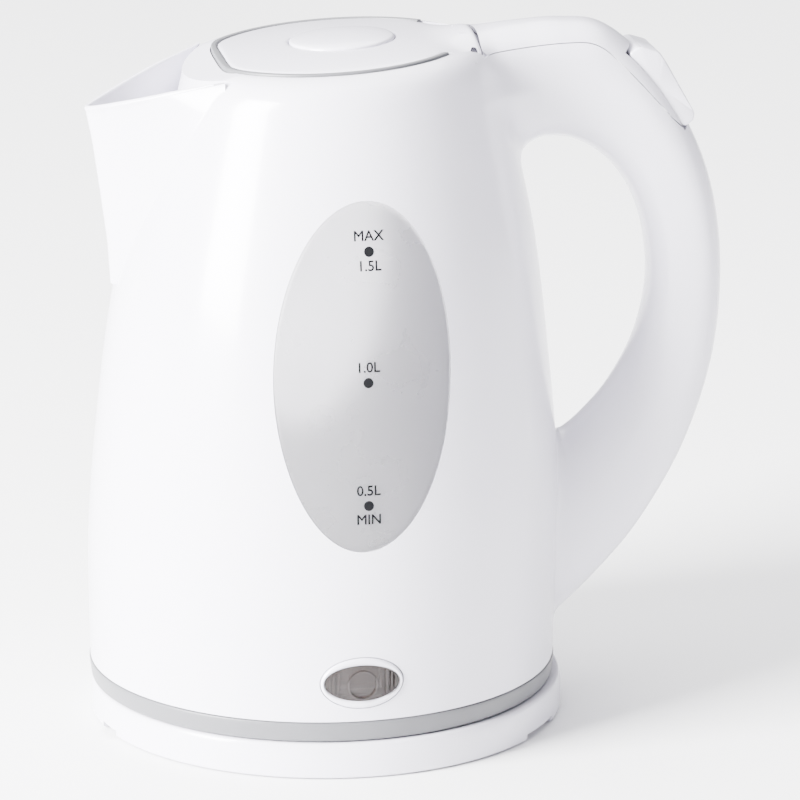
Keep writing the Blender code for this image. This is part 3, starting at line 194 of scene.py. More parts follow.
def prism(name, outline, low, high, axis='Z'):
    """A flat outline pushed along an axis: (x, y) along Z, or (x, z) along Y."""
    bm = bmesh.new()
    rows = []
    for level in (low, high):
        if axis == 'Z':
            rows.append([bm.verts.new((x, y, level)) for x, y in outline])
        else:
            rows.append([bm.verts.new((x, level, z)) for x, z in outline])
    walled(bm, *rows)
    bm.faces.new(rows[0])
    bm.faces.new(rows[1])
    return finished(bm, name)


def turned(name, profile, steps=128, hollow=False):
    """A body turned about Z from (radius, height) points; radius 0 at both ends unless it is hollow."""
    bm = bmesh.new()
    rows = []
    for radius, height in profile:
        if radius == 0:
            rows.append([bm.verts.new((0, 0, height))])
        else:
            rows.append([bm.verts.new((*polar(radius, turn), height)) for turn in turns_of(steps)])
    pairs = list(zip(rows, rows[1:]))
    if hollow:
        pairs.append((rows[-1], rows[0]))
    for one, two in pairs:
        walled(bm, one, two)
    return finished(bm, name)


def turns_of(steps):
    return [2 * pi * step / steps for step in range(steps)]


def polar(reach, turn):
    return reach * cos(turn), reach * sin(turn)


def rounded(points, radius, steps=4, closed=False):
    """The points of an outline with each corner replaced by a small arc-like curve."""
    count = len(points)
    result = []
    for index, point in enumerate(points):
        here = Vector(point)
        if not closed and index in (0, count - 1):
            result.append(tuple(here))
            continue
        before = Vector(points[index - 1]) - here
        after = Vector(points[(index + 1) % count]) - here
        reach = min(radius, before.length * 0.45, after.length * 0.45)
        start = here + before.normalized() * reach
        end = here + after.normalized() * reach
        for step in range(steps + 1):
            t = step / steps
            result.append(tuple(start * (1 - t) ** 2 + here * 2 * t * (1 - t) + end * t ** 2))
    return result


def smooth_path(points, steps):
    """Points along a Catmull-Rom curve through the given ones."""
    points = [Vector(point) for point in points]
    padded = [2 * points[0] - points[1]] + points + [2 * points[-1] - points[-2]]
    path = []
    for index in range(1, len(padded) - 2):
        before, start, end, after = padded[index - 1:index + 3]
        for step in range(steps):
            t = step / steps
            path.append(0.5 * (2 * start + (end - before) * t
                               + (2 * before - 5 * start + 4 * end - after) * t ** 2
                               + (3 * start - before - 3 * end + after) * t ** 3))
    path.append(points[-1])
    return path


def placed(name, data):
    """A new object in the scene for a mesh, a curve, a lamp or a camera."""
    made = bpy.data.objects.new(name, data)
    bpy.context.scene.collection.objects.link(made)
    return made


def as_mesh(obj):
    """The object's shape after its modifiers; the object itself is removed."""
    bpy.context.view_layer.update()
    mesh = bpy.data.meshes.new_from_object(obj.evaluated_get(bpy.context.evaluated_depsgraph_get()))
    bpy.data.objects.remove(obj, do_unlink=True)
    return mesh


def combined(name, start, steps):
    """The mesh of start after a run of steps: a mesh to cut away, or a ('join' | 'keep', mesh) pair."""
    kinds = {'join': 'UNION', 'keep': 'INTERSECT'}
    body = placed(name, start)
    others = []
    for number, step in enumerate(steps):
        kind, mesh = step if isinstance(step, tuple) else (None, step)
        other = placed(f"{name}_{number}", mesh)
        others.append(other)
        modifier = body.modifiers.new(f"step_{number}", 'BOOLEAN')
        modifier.operation = kinds.get(kind, 'DIFFERENCE')
        modifier.solver = 'MANIFOLD'
        modifier.object = other
    result = as_mesh(body)
    for other in others:
        bpy.data.objects.remove(other, do_unlink=True)
    result.name = name
    return result


# ---- smooth forms as fields: negative inside, zero on the surface, about true distance near it ----
def sampled(table, column):
    """Dense (value, reading) samples of a table's column along a smooth curve."""
    path = smooth_path([(row[0], row[column], 0) for row in table], 24)
    return np.array([p.x for p in path]), np.array([p.y for p in path])


CENTRE_AT = sampled(JUG_STATIONS, 1)
RADIUS_AT = sampled(JUG_STATIONS, 2)


def jug_centre(z):
    return np.interp(z, *CENTRE_AT)


def jug_radius(z):
    return np.interp(z, *RADIUS_AT)


def smooth_max(a, b, width):
    near = np.maximum(width - np.abs(a - b), 0) / width
    return np.maximum(a, b) + near * near * width / 4


def smooth_min(a, b, width):
    return -smooth_max(-a, -b, width)


def jug_field(points):
    x, y, z = points.T
    side = np.hypot(x - jug_centre(z), y) - jug_radius(z)
    lean = (jug_radius(z + 0.001) - jug_radius(z - 0.001)) / 0.002
    top = (z - LID_Z - LID_SLOPE * (x - LID_X)) / sqrt(1 + LID_SLOPE ** 2)
    return smooth_max(side / np.sqrt(1 + lean ** 2), top, SHOULDER_ROUNDING)


def handle_run(steps=10):
    """Middle, direction towards the back, half depth and half width along the handle."""
    backs = smooth_path([(x, 0, z) for (x, z), _, _ in HANDLE_STATIONS], steps)
    fronts = smooth_path([(x, 0, z) for _, (x, z), _ in HANDLE_STATIONS], steps)
    widths = smooth_path([(0, width, 0) for _, _, width in HANDLE_STATIONS], steps)
    middle = np.array([(back + front) / 2 for back, front in zip(backs, fronts)])
    half = np.array([(back - front) / 2 for back, front in zip(backs, fronts)])
    depth = np.linalg.norm(half, axis=1)
    return middle, half / depth[:, None], depth, np.array([width.y for width in widths])


HANDLE_MIDDLE, HANDLE_OUT, HANDLE_DEPTH, HANDLE_WIDTH = handle_run()
# the handle is looked for only behind this x; elsewhere it counts as far off
HANDLE_FROM = 0.030
FAR_OFF = 0.05
LEAST_CHANGE = 1e-6


def handle_field(points, inset=0.0):
    """Rounded sections along the handle; each point is read on the section that passes through it."""
    count = len(HANDLE_DEPTH)
    steps = np.arange(count)
    flat = points[:, [0, 2]]
    middle = HANDLE_MIDDLE[:, [0, 2]]
    place = np.zeros(len(points))
    best = np.full(len(points), 1e9)
    for index in range(0, count, 2):
        away = np.sum((flat - middle[index]) ** 2, axis=1)
        nearer = away < best
        best[nearer] = away[nearer]
        place[nearer] = index

    def across(at):
        mx, mz = (np.interp(at, steps, middle[:, k]) for k in (0, 1))
        ux, uz = (np.interp(at, steps, HANDLE_OUT[:, k]) for k in (0, 2))
        dx, dz = flat[:, 0] - mx, flat[:, 1] - mz
        return dx * uz - dz * ux, dx * ux + dz * uz

    for _ in range(5):
        off = across(place)[0]
        change = (across(place + 0.25)[0] - across(place - 0.25)[0]) / 0.5
        change = np.where(np.abs(change) < LEAST_CHANGE, -LEAST_CHANGE, change)
        place = np.clip(place - np.clip(off / change, -3, 3), 0, count - 1)
    off, out = across(place)
    depth = np.interp(place, steps, HANDLE_DEPTH)
    share = out / depth
    width = np.interp(place, steps, HANDLE_WIDTH) * (1 + HANDLE_TAPER * np.clip(share, -1, 1))
    power = HANDLE_SQUARENESS
    size = (np.abs(share) ** power + np.abs(points[:, 1] / width) ** power) ** (1 / power)
    return np.maximum((size - 1) * np.minimum(depth, width) + inset, np.abs(off) - 0.0015)


def body_field(points):
    jug = jug_field(points)
    near = points[:, 0] > HANDLE_FROM
    handle = np.full(len(points), FAR_OFF)
    handle[near] = handle_field(points[near])
    return smooth_min(jug, handle, np.interp(points[:, 2], *zip(*FILLETS)))


def slope_of(field, points, reach=0.0001):
    slopes = []
    for axis in range(3):
        shift = np.zeros(3)
        shift[axis] = reach
        slopes.append((field(points + shift) - field(points - shift)) / (2 * reach))
    return np.stack(slopes, axis=1)


def skin(name, field, low, high, step):
    """A closed mesh on the field's zero surface: one point in each crossed cell, moved onto the surface."""
    axes = [np.arange(a, b + step, step) for a, b in zip(low, high)]
    shape = tuple(len(axis) for axis in axes)
    grid = np.stack(np.meshgrid(*axes, indexing='ij'), axis=-1).reshape(-1, 3)
    value = field(grid).reshape(shape)
    inside = value < 0
    cells = tuple(n - 1 for n in shape)

    def corner(array, i, j, k):
        return array[i:i + cells[0], j:j + cells[1], k:k + cells[2]]

    offsets = [(i, j, k) for i in (0, 1) for j in (0, 1) for k in (0, 1)]
    filled = sum(corner(inside, *offset).astype(int) for offset in offsets)
    mixed = (filled > 0) & (filled < 8)
    number = np.full(cells, -1)
    number[mixed] = np.arange(mixed.sum())
    where = np.argwhere(mixed)
    total = np.zeros((len(where), 3))
    count = np.zeros(len(where))
    for one in offsets:
        for axis in range(3):
            if one[axis]:
                continue
            two = tuple(1 if k == axis else one[k] for k in range(3))
            a = corner(value, *one)[mixed]
            b = corner(value, *two)[mixed]
            crossed = (a < 0) != (b < 0)
            share = np.where(crossed, a / np.where(crossed, a - b, 1), 0)
            spot = where + np.array(one) + share[:, None] * (np.array(two) - np.array(one))
            total += np.where(crossed[:, None], spot, 0)
            count += crossed
    points = np.array(low) + step * total / count[:, None]
    for _ in range(3):
        slope = slope_of(field, points)
        move = -field(points)[:, None] * slope / np.maximum((slope ** 2).sum(1), 0.05)[:, None]
        points += np.clip(move, -0.4 * step, 0.4 * step)
    faces = []
    for axis in range(3):
        one, two = (axis + 1) % 3, (axis + 2) % 3
        first = np.take(inside, range(shape[axis] - 1), axis)
        second = np.take(inside, range(1, shape[axis]), axis)
        for sense, crossed in ((0, first & ~second), (1, ~first & second)):
            at = np.argwhere(crossed)
            within = (at[:, one] > 0) & (at[:, two] > 0)
            at = at[within & (at[:, one] < cells[one]) & (at[:, two] < cells[two])]
            ring = []
            for back_one, back_two in ((1, 1), (0, 1), (0, 0), (1, 0)):
                cell = at.copy()
                cell[:, one] -= back_one
                cell[:, two] -= back_two
                ring.append(number[tuple(cell.T)])
            ring = np.stack(ring if sense == 0 else ring[::-1], axis=1)
            faces.append(ring)
    mesh = bpy.data.meshes.new(name)
    mesh.from_pydata(points.tolist(), [], np.concatenate(faces).tolist())
    return mesh


# ---- outlines and cutters shared by several pieces ----
def ring_at(height, radius, centre=None, steps=128, lean=0.0):
    middle = jug_centre(height) if centre is None else centre
    return [(middle + radius * cos(turn), radius * sin(turn),
             height + lean * (middle + radius * cos(turn) - LID_X)) for turn in turns_of(steps)]


def water_space():
    """The jug's inside above its floor."""
    rings = [ring_at(FLOOR_TOP, 0.0640, 0.0), ring_at(FLOOR_TOP + 0.0008, 0.0668, 0.0),
             ring_at(FLOOR_TOP + 0.0030, jug_radius(FLOOR_TOP + 0.003) - JUG_WALL)]
    for height in np.arange(0.052, 0.1825, 0.006):
        rings.append(ring_at(height, jug_radius(height) - JUG_WALL))
    rings += [ring_at(height, radius, LID_X, lean=LID_SLOPE) for height, radius in CAVITY_TOP]
    return loft("water_space", rings)


def ellipse(centre_x, centre_z, half_width, half_height, steps):
    return [(centre_x + half_width * cos(turn), centre_z + half_height * sin(turn))
            for turn in turns_of(steps)]


WINDOW_SHIFT = 0.0015
PANE_GROWTH = 0.0002
WINDOW_Z = (WINDOW_LOW.z + WINDOW_HIGH.z) / 2
WINDOW_HALF_WIDTH = 0.0262
WINDOW_HALF_HEIGHT = (WINDOW_HIGH.z - WINDOW_LOW.z) / 2
LENS_X = (LENS_LOW.x + LENS_HIGH.x) / 2 - AXIS_X
LENS_Z = (LENS_LOW.z + LENS_HIGH.z) / 2
LENS_HALF_WIDTH = (LENS_HIGH.x - LENS_LOW.x) / 2
LENS_HALF_HEIGHT = (LENS_HIGH.z - LENS_LOW.z) / 2


def window_hole(side):
    outline = ellipse(WINDOW_SHIFT, WINDOW_Z, WINDOW_HALF_WIDTH + GAP, WINDOW_HALF_HEIGHT + GAP, 160)
    outline = [(x + jug_centre(z), z) for x, z in outline]
    low, high = sorted((side * 0.045, side * 0.09))
    return prism("window_hole", outline, low, high, axis='Y')


def spout_reach(height):
    """How far the spout's nose stands out in front of the jug's axis."""
    return np.interp(height, *zip(*SPOUT_FRONT))


def crease_radius(height):
    """Radius of the jug at the spout's creases, where the shoulder has begun to round in."""
    height = min(height, CREASE_HIGH)
    top = height - LID_Z - LID_SLOPE * (CREASE_X - LID_X)
    inward = 0.0
    for _ in range(12):
        near = max(SHOULDER_ROUNDING - abs(top + inward), 0) / SHOULDER_ROUNDING
        inward = 0.5 * inward + 0.5 * near * near * SHOULDER_ROUNDING / 4
    return jug_radius(min(height, SIDE_TOP)) - inward


def spout_section(height, wall, steps=20):
    """Nose of the spout at one height, a rounded V between its two creases on the jug."""
    centre, radius = jug_centre(min(height, SIDE_TOP)), crease_radius(height)
    share = min((height - SPOUT_FOOT + 0.004) / (SPOUT_CREASE_TOP - SPOUT_FOOT), 1.12)
    half_angle = SPOUT_HALF_ANGLE * share
    crease_x = centre - radius * cos(half_angle)
    crease_y = radius * sin(half_angle)
    front = -spout_reach(height)
    spread = sqrt(crease_y ** 2 + SPOUT_NOSE ** 2) - SPOUT_NOSE
    slope = max(crease_x - front, 0.0004) / spread
    shrink = wall * (sqrt(1 + slope ** 2) - 1) / max(slope, 0.05)
    nose = max(SPOUT_NOSE - shrink, 0.0006)
    reach = crease_y * 1.06
    points = []
    for step in range(-steps, steps + 1):
        y = reach * copysign(abs(step / steps) ** 1.5, step)
        points.append((front + wall + slope * (sqrt(y ** 2 + nose ** 2) - nose), y, height))
    rear = centre - radius * 0.55 + 2 * wall
    return points + [(rear, reach * 0.7, height), (rear, -reach * 0.7, height)]


def spout_solid(name, wall, bottom, top):
    return loft(name, [spout_section(level, wall) for level in np.linspace(bottom, top, 31)])


RIM_SLOPE = (RIM_REAR[1] - RIM_FRONT[1]) / (RIM_REAR[0] - RIM_FRONT[0])
RIM_DROP = 0.0006


def rim_height(x):
    return RIM_FRONT[1] + RIM_SLOPE * (x - RIM_FRONT[0])


def above_spout_rim(drop):
    left, right, top = -0.09, -0.025, 0.25
    outline = ((left, rim_height(left) - drop), (right, rim_height(right) - drop),
               (right, top), (left, top))
    return prism("rim_cut", outline, -0.06, 0.06, axis='Y')


def rim_bead():
    """Round edge along the spout's rim, from crease to crease."""
    path = []
    for index in range(41):
        height = RIM_FRONT[1]
        for _ in range(12):
            point = spout_section(height, SPOUT_WALL / 2)[index]
            height = 0.5 * height + 0.5 * rim_height(point[0])
        path.append(Vector((point[0], point[1], height - RIM_DROP)))
    path = path[2:-2]
    ends = [min(index, len(path) - 1 - index) for index in range(len(path))]
    return swept("rim_bead", path, [SPOUT_WALL / 2 * min((end + 1) / 4, 1) for end in ends], 12)


def swept(name, path, radius, steps):
    """A round bar along a path of points; radius is one number, or one for each point."""
    radii = radius if isinstance(radius, list) else [radius] * len(path)
    rings = []
    side = None
    for index, point in enumerate(path):
        along = (path[min(index + 1, len(path) - 1)] - path[max(index - 1, 0)]).normalized()
        if side is None:
            side = along.orthogonal().normalized()
        side = (side - along * side.dot(along)).normalized()
        other = along.cross(side)
        rings.append([point + (side * cos(turn) + other * sin(turn)) * radii[index]
                      for turn in turns_of(steps)])
    return loft(name, rings)


def tongue_half_width(u):
    start_u, start_v = polar(LID_RADIUS, TONGUE_SIDE)
    end_v = TONGUE_END * tan(TONGUE_CORNER)
    return start_v + (end_v - start_v) * (u - start_u) / (TONGUE_END - start_u)


def lid_reach(turn):
    """Distance from the lid's centre to its edge, with the chord's corners rounded."""
    turn = atan2(sin(turn), cos(turn))
    if abs(turn) <= TONGUE_CORNER:
        return TONGUE_END / cos(turn)
    if abs(turn) < TONGUE_SIDE:
        start_u, start_v = polar(LID_RADIUS, TONGUE_SIDE)
        run = (TONGUE_END - start_u, TONGUE_END * tan(TONGUE_CORNER) - start_v)
        ahead, across = polar(1, abs(turn))
        return (start_u * run[1] - start_v * run[0]) / (ahead * run[1] - across * run[0])
    if cos(turn) < 0:
        chord = LID_CHORD / -cos(turn)
        sharpness = 28
        return (LID_RADIUS ** -sharpness + chord ** -sharpness) ** (-1 / sharpness)
    return LID_RADIUS


def lid_height(u, v):
    """Top of the lid above its seam: a low dome that runs out into a crowned tongue."""
    dome = 0.0026 - 0.0021 * (hypot(u, v) / 0.038) ** 2
    share = min(max((u - 0.027) / (TONGUE_END - 0.027), 0), 1)
    blend = share * share * (3 - 2 * share)
    across = min(abs(v) / tongue_half_width(u), 1.0)
    return (1 - blend) * dome + blend * (0.0024 - 0.0042 * across ** 2.2)


def lid_outline(offset, steps=240):
    return [polar(lid_reach(turn) + offset, turn) for turn in turns_of(steps)]


LID_FRAME = Matrix.Translation((LID_X, 0, LID_Z)) @ Matrix.Rotation(-atan(LID_SLOPE), 4, 'Y')
HINGE_FRAME = Matrix.Translation((HINGE_X, 0, HINGE_Z)) @ Matrix.Rotation(-atan(LID_SLOPE), 4, 'Y')


def moved(mesh, matrix):
    mesh.transform(matrix)
    return mesh


def hinge_clearance(margin=0.0004):
    """What the back of the tongue sweeps through as the lid swings, turned about the hinge."""
    profile = []
    for step in range(25):
        y = TONGUE_ROOM * (step / 12 - 1)
        v = min(abs(y), tongue_half_width(TONGUE_END))
        top = LID_Z + LID_SLOPE * TONGUE_END + lid_height(TONGUE_END, v)
        radius = hypot(LID_X + TONGUE_END - HINGE_X, max(top - HINGE_Z, TONGUE_RISE)) + margin
        profile.append((radius, y))
    profile = [(0, profile[0][1])] + profile + [(0, profile[-1][1])]
    along_pin = HINGE_FRAME @ Matrix.Rotation(radians(-90), 4, 'X')
    return moved(turned("hinge_room", profile, 96), along_pin)


def block(size, centre=(0, 0, 0)):
    bm = bmesh.new()
    bmesh.ops.create_cube(bm, size=1.0)
    bmesh.ops.scale(bm, vec=size, verts=bm.verts)
    bmesh.ops.translate(bm, vec=centre, verts=bm.verts)
    return finished(bm, "block")


def rod(radius, start, end, steps=32):
    return swept("rod", [Vector(start), Vector(end)], radius, steps)


def switch_point(along, out):
    return SWITCH_TOP + SWITCH_ALONG * along + SWITCH_OUT * out


def switch_prism(name, outline, half_width):
    points = [switch_point(along, out) for along, out in outline]
    return prism(name, [(point.x, point.z) for point in points], -half_width, half_width, axis='Y')


def over_seam(spread):
    """The space above the top cover's lower edge, down to where that edge meets the switch."""
    end = switch_point(COVER_LENGTH + spread, -0.0026 - spread)
    far = switch_point(COVER_LENGTH + spread, 0.0300)
    seam = smooth_path([(x, 0, z) for x, z in COVER_SEAM], 6)
    outline = [(point.x, point.z - spread) for point in seam]
    outline += [(end.x, end.z), (far.x, far.z), (0.1400, 0.2400), (0.0430, 0.2400)]
    return prism("over_seam", outline, -0.04, 0.04, axis='Y')


def rocker_opening():
    length = ROCKER_LENGTH
    opening = ((0.0002, -0.014), (0.0002, 0.010), (length, 0.010), (length, -0.014))
    return switch_prism("rocker_opening", opening, ROCKER_HALF_WIDTH + 0.0004)


def hollow_field(points):
    """The handle's inside, kept clear of the jug's own wall."""
    x, y, z = points.T
    jug = np.hypot(x - jug_centre(z), y) - jug_radius(z)
    return np.maximum(np.maximum(handle_field(points, HANDLE_WALL), 0.0004 - jug), 0.0600 - x)


def shoulder_field(points):
    """The jug's own top next to the handle, without the handle."""
    x, y, z = points.T
    return np.maximum.reduce([jug_field(points), 0.1960 - z, 0.0300 - x, np.abs(y) - 0.0260])


# ---- jug and handle ----
def whole_field(points):
    return np.maximum(body_field(points), BODY_BOTTOM - 0.003 - points[:, 2])


# floors of the rooms for the lid, counted from its seam, and how high their cutters reach
RECESS_FLOOR = -0.0038
MOUTH_FLOOR = -0.012
TONGUE_FLOOR = -0.0056
OVER_LID = 0.02
# other rooms in the moulding, and the box round the jug's shoulder under the cover
BRACKET_ROOM = (0.0082, 0.0204, 0.0079)
CONTROL_ROOM_RADIUS = 0.0693
HEATER_HOLE_RADIUS = 0.0490
SHOULDER_BOX = (0.0285, -0.0275, 0.1945), (0.0600, 0.0275, 0.2145)
SHOULDER_FIT = 0.0004
COVER_FIT = 0.0002


def body_and_cover():
    """The white moulding and the top cover of its handle, split out of one smooth form."""
    corner = (-0.0735, -0.0735, BODY_BOTTOM - 0.0045)
    whole = skin("whole", whole_field, corner, (0.1265, 0.0735, 0.2175), 0.0015)
    hollow = skin("hollow", hollow_field, (0.058, -0.020, 0.026), (0.1265, 0.020, 0.2165), 0.002)
    recess = moved(prism("recess", lid_outline(LID_FIT), RECESS_FLOOR, OVER_LID), LID_FRAME)
    mouth_outline = [polar(min(lid_reach(turn), LID_RADIUS) - JUG_WALL, turn) for turn in turns_of(120)]
    mouth = moved(prism("mouth", mouth_outline, MOUTH_FLOOR, 0.004), LID_FRAME)
    tongue_side = [(0.0270, -0.0236), (0.0270, 0.0236), (TONGUE_END + LID_FIT, TONGUE_ROOM),
                   (TONGUE_END + LID_FIT, -TONGUE_ROOM)]
    tongue = moved(prism("tongue", tongue_side, TONGUE_FLOOR, OVER_LID), LID_FRAME)
    bracket = moved(block(BRACKET_ROOM, (0.0005, 0, -0.0010)), HINGE_FRAME)
    below = block((0.4, 0.4, 0.02), (0, 0, BODY_BOTTOM - 0.01))
    lower_room = loft("lower_room", [ring_at(height, CONTROL_ROOM_RADIUS, 0.0)
                                     for height in (0.005, FLOOR_BOTTOM)])
    floor_hole = loft("floor_hole", [ring_at(height, HEATER_HOLE_RADIUS, 0.0) for height in (0.035, 0.048)])
    lens_outline = ellipse(LENS_X, LENS_Z, LENS_HALF_WIDTH + GAP, LENS_HALF_HEIGHT + GAP, 72)
    shoulder = skin("shoulder", shoulder_field, *SHOULDER_BOX, 0.001)
    clear = skin("clear", lambda points: shoulder_field(points) - SHOULDER_FIT, *SHOULDER_BOX, 0.001)
    cover_room = combined("cover_room", over_seam(GAP), [shoulder])
    jug = combined("jug", whole.copy(), [
        below, lower_room, cover_room, hollow.copy(),
        ('join', spout_outside()), water_space(),
        pouring_channel(), above_spout_rim(RIM_DROP), ('join', rim_bead()),
        recess, mouth, hinge_clearance(), tongue, bracket,
        rocker_opening(), pouring_hole(), floor_hole,
        window_hole(-1), window_hole(1),
        prism("lens_hole", lens_outline, -0.09, -0.055, axis='Y'),
    ])
    nose = block((0.040, 0.08, 0.06), (LID_X + TONGUE_END + COVER_FIT - 0.020, 0, 0.2250))
    cover = combined("cover", whole, [
        ('keep', over_seam(0.0)), hollow, block((0.1, 0.1, 0.09), (-0.0040, 0, 0.17)),
        hinge_clearance(COVER_FIT), nose, rocker_opening(), clear,
    ])
    return jug, cover


def spout_outside():
    """The spout's solid form in front of the jug's wall."""
    core = loft("core", [ring_at(z, crease_radius(z) - 0.0012) for z in np.linspace(0.12, 0.2160, 28)])
    behind = block((0.030, 0.08, 0.020), (-0.0175, 0, 0.2090))
    solid = spout_solid("spout", 0.0, SPOUT_FOOT, SPOUT_HEAD)
    return combined("spout", solid, [core, behind])


def pouring_channel():
    """The spout's inside, from the wall of the jug up to the open rim, in front of the bridge."""
    channel = spout_solid("channel", SPOUT_WALL, SPOUT_FOOT + 0.0035, SPOUT_HEAD + 0.004)
    rings = [ring_at(z, jug_radius(z) - 0.0012) for z in np.linspace(0.12, 0.1860, 16)]
    rings += [ring_at(z, radius, 0.0045, lean=0.03) for z, radius in BRIDGE]
    return combined("channel", channel, [loft("bridge", rings)])


# the jug's wall behind the spout leans in by this much
WALL_TILT = Matrix.Rotation(radians(15.2), 4, 'Y')


def pouring_hole():
    """Opening in the jug's wall behind the spout, narrower towards its foot."""
    outline = rounded(((-0.0040, -0.0135), (0.0040, -0.0135), (0.0100, -0.0010), (0.0130, 0.0090),
                       (0.0130, 0.0140), (0.0095, 0.0180), (-0.0095, 0.0180), (-0.0130, 0.0140),
                       (-0.0130, 0.0090), (-0.0100, -0.0010)), 0.004, closed=True)
    rings = [[(x, y, z) for y, z in outline] for x in (-0.0030, 0.0080)]
    return moved(loft("pouring_hole", rings), Matrix.Translation((-0.0540, 0, 0.1700)) @ WALL_TILT)


# ---- materials: a shader whose colour, roughness and surface vary a little by noise ----
def set_inputs(node, inputs):
    for key, value in inputs.items():
        node.inputs[key.replace("_", " ")].default_value = value


def material(name, colour, shade, roughness, spread=0.05, grain=60.0, bump=0.00002, **values):
    """colour and shade are the two tones that the noise mixes; roughness varies by spread either way."""
    made = bpy.data.materials.new(name)
    made.use_nodes = True
    tree = made.node_tree
    shader = tree.nodes["Principled BSDF"]

    def node(kind, **inputs):
        added = tree.nodes.new("ShaderNode" + kind)
        set_inputs(added, inputs)
        return added

    def link(source, output, target, entry):
        tree.links.new(source.outputs[output], target.inputs[entry])

    place = node("TexCoord")
    noise = node("TexNoise", Scale=grain, Detail=4)
    link(place, "Object", noise, "Vector")
    mix = node("Mix")
    mix.data_type = 'RGBA'
    set_inputs(mix, {"A": (*colour, 1), "B": (*shade, 1)})
    link(noise, "Fac", mix, "Factor")
    link(mix, "Result", shader, "Base Color")
    reach = node("MapRange", To_Min=roughness - spread, To_Max=roughness + spread)
    link(noise, "Fac", reach, "Value")
    link(reach, "Result", shader, "Roughness")
    fine = node("TexNoise", Scale=grain * 12)
    link(place, "Object", fine, "Vector")
    relief = node("Bump", Strength=0.25, Distance=bump)
    link(fine, "Fac", relief, "Height")
    link(relief, "Normal", shader, "Normal")
    set_inputs(shader, values)
    return made


LOOKS = {
    "white_shell": material("white_gloss", (0.735, 0.720, 0.795), (0.705, 0.690, 0.765), 0.24,
                            Coat_Weight=0.35, Coat_Roughness=0.08),
    "grey_trim": material("grey_satin", (0.122, 0.123, 0.132), (0.108, 0.109, 0.117), 0.40),
    "window": material("window_clear", (0.89, 0.88, 0.91), (0.86, 0.85, 0.88), 0.28,
                       Transmission_Weight=0.86, IOR=1.3),
    "lens": material("lens_smoke", (0.22, 0.18, 0.175), (0.17, 0.135, 0.13), 0.08,
                     Transmission_Weight=0.9, IOR=1.4),
    "steel": material("steel_satin", (0.66, 0.66, 0.67), (0.56, 0.56, 0.58), 0.28, Metallic=1.0),
    "aluminium_parts": material("aluminium_cast", (0.74, 0.74, 0.76), (0.64, 0.64, 0.66), 0.42,
                                Metallic=1.0),
    "brass_contacts": material("brass_bright", (0.76, 0.58, 0.28), (0.62, 0.46, 0.20), 0.28,
                               Metallic=1.0),
    "black_plastic": material("black_fine", (0.035, 0.035, 0.036), (0.022, 0.022, 0.023), 0.46,
                              bump=0.00005),
    "foot_rubber": material("rubber_matt", (0.20, 0.20, 0.21), (0.15, 0.15, 0.16), 0.78, bump=0.00008),
    "silicone": material("silicone_milky", (0.80, 0.80, 0.79), (0.72, 0.72, 0.71), 0.55),
    "lamp_glass": material("neon_glass", (0.95, 0.70, 0.58), (0.90, 0.60, 0.48), 0.08,
                           Transmission_Weight=0.8, IOR=1.4),
    "wire_insulation": material("wire_pvc", (0.55, 0.13, 0.09), (0.45, 0.09, 0.06), 0.5),
}
INK = material("printed_grey", (0.008, 0.008, 0.009), (0.006, 0.006, 0.007), 0.75,
               Specular_IOR_Level=0.05)

for entry in frame["record"]["subparts"]:
    node = frame["nodes"][entry["node"]]
    node.data.materials.clear()
    node.data.materials.append(LOOKS[entry["material_slot"]])


def piece(name, mesh, slot, body, stands_for=(), look=None, angle=35, matrix=None):
    """Finishes a piece: its look, its smooth shading, its place about the jug's axis and its CAD body."""
    if matrix is not None:
        mesh.transform(matrix)
    mesh.transform(Matrix.Translation((AXIS_X, 0, 0)))
    mesh.materials.clear()
    mesh.materials.append(look or LOOKS[slot])
    mesh.shade_smooth()
    mesh.set_sharp_from_angle(angle=radians(angle))
    obj = placed(name, mesh)
    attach(obj, body)
    if stands_for:
        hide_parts(*stands_for)


def make_jug():
    jug, cover = body_and_cover()
    piece("jug_moulding", jug, "white_shell", "jug", ["jug_body"], angle=32)
    piece("handle_top_cover", cover, "white_shell", "jug", ["handle_cover"], angle=32)


# ---- panes, lens and marks, all laid on the jug's curved side ----
def on_jug(x, z, side, proud=0.0):
    """The point of the jug's side at that place, raised along the section's radius."""
    radius = jug_radius(z) + proud
    return x, side * sqrt(radius ** 2 - (x - jug_centre(z)) ** 2), z


def oval_slab(name, centre, half, side, outer, inner, steps=128):
    """A closed oval plate that follows the jug's side, from rows of (share of the oval, proud).

    The oval's own centre is counted from the line through the centres of the jug's sections.
    """
    rings = []
    for share, proud in list(outer) + list(inner)[::-1]:
        ring = []
        for turn in turns_of(steps):
            z = centre[1] + share * half[1] * sin(turn)
            x = jug_centre(z) + centre[0] + share * half[0] * cos(turn)
            ring.append(on_jug(x, z, side, proud))
        rings.append(ring)
    return loft(name, rings)


def make_windows():
    outer = [(0.02, 0)] + [(share, 0) for share in np.linspace(0.12, 0.96, 13)]
    outer += [(0.988, 0), (1.0, -0.0003)]
    inner = [(share, -JUG_WALL) for share in np.linspace(0.02, 1.0, 14)]
    centre = (WINDOW_SHIFT, WINDOW_Z)
    half = (WINDOW_HALF_WIDTH + PANE_GROWTH, WINDOW_HALF_HEIGHT + PANE_GROWTH)
    for name, node, side in (("window_pane_near", "window_near", -1), ("window_pane_far", "window_far", 1)):
        piece(name, oval_slab(name, centre, half, side, outer, inner), "window", "jug", [node])


MARK_SHIFT = 0.0025
MARK_RISE = 0.00004
DOT_RADIUS = 0.0015
TEXT_SIZE = 0.0042
TEXT_ABOVE = 0.0044
TEXT_BELOW = -0.0042
# height of each level's dot, the words above it and below it
MARKS = ((0.1588, "MAX", "1.5L"), (0.1208, "1.0L", ""), (0.0844, "0.5L", "MIN"))


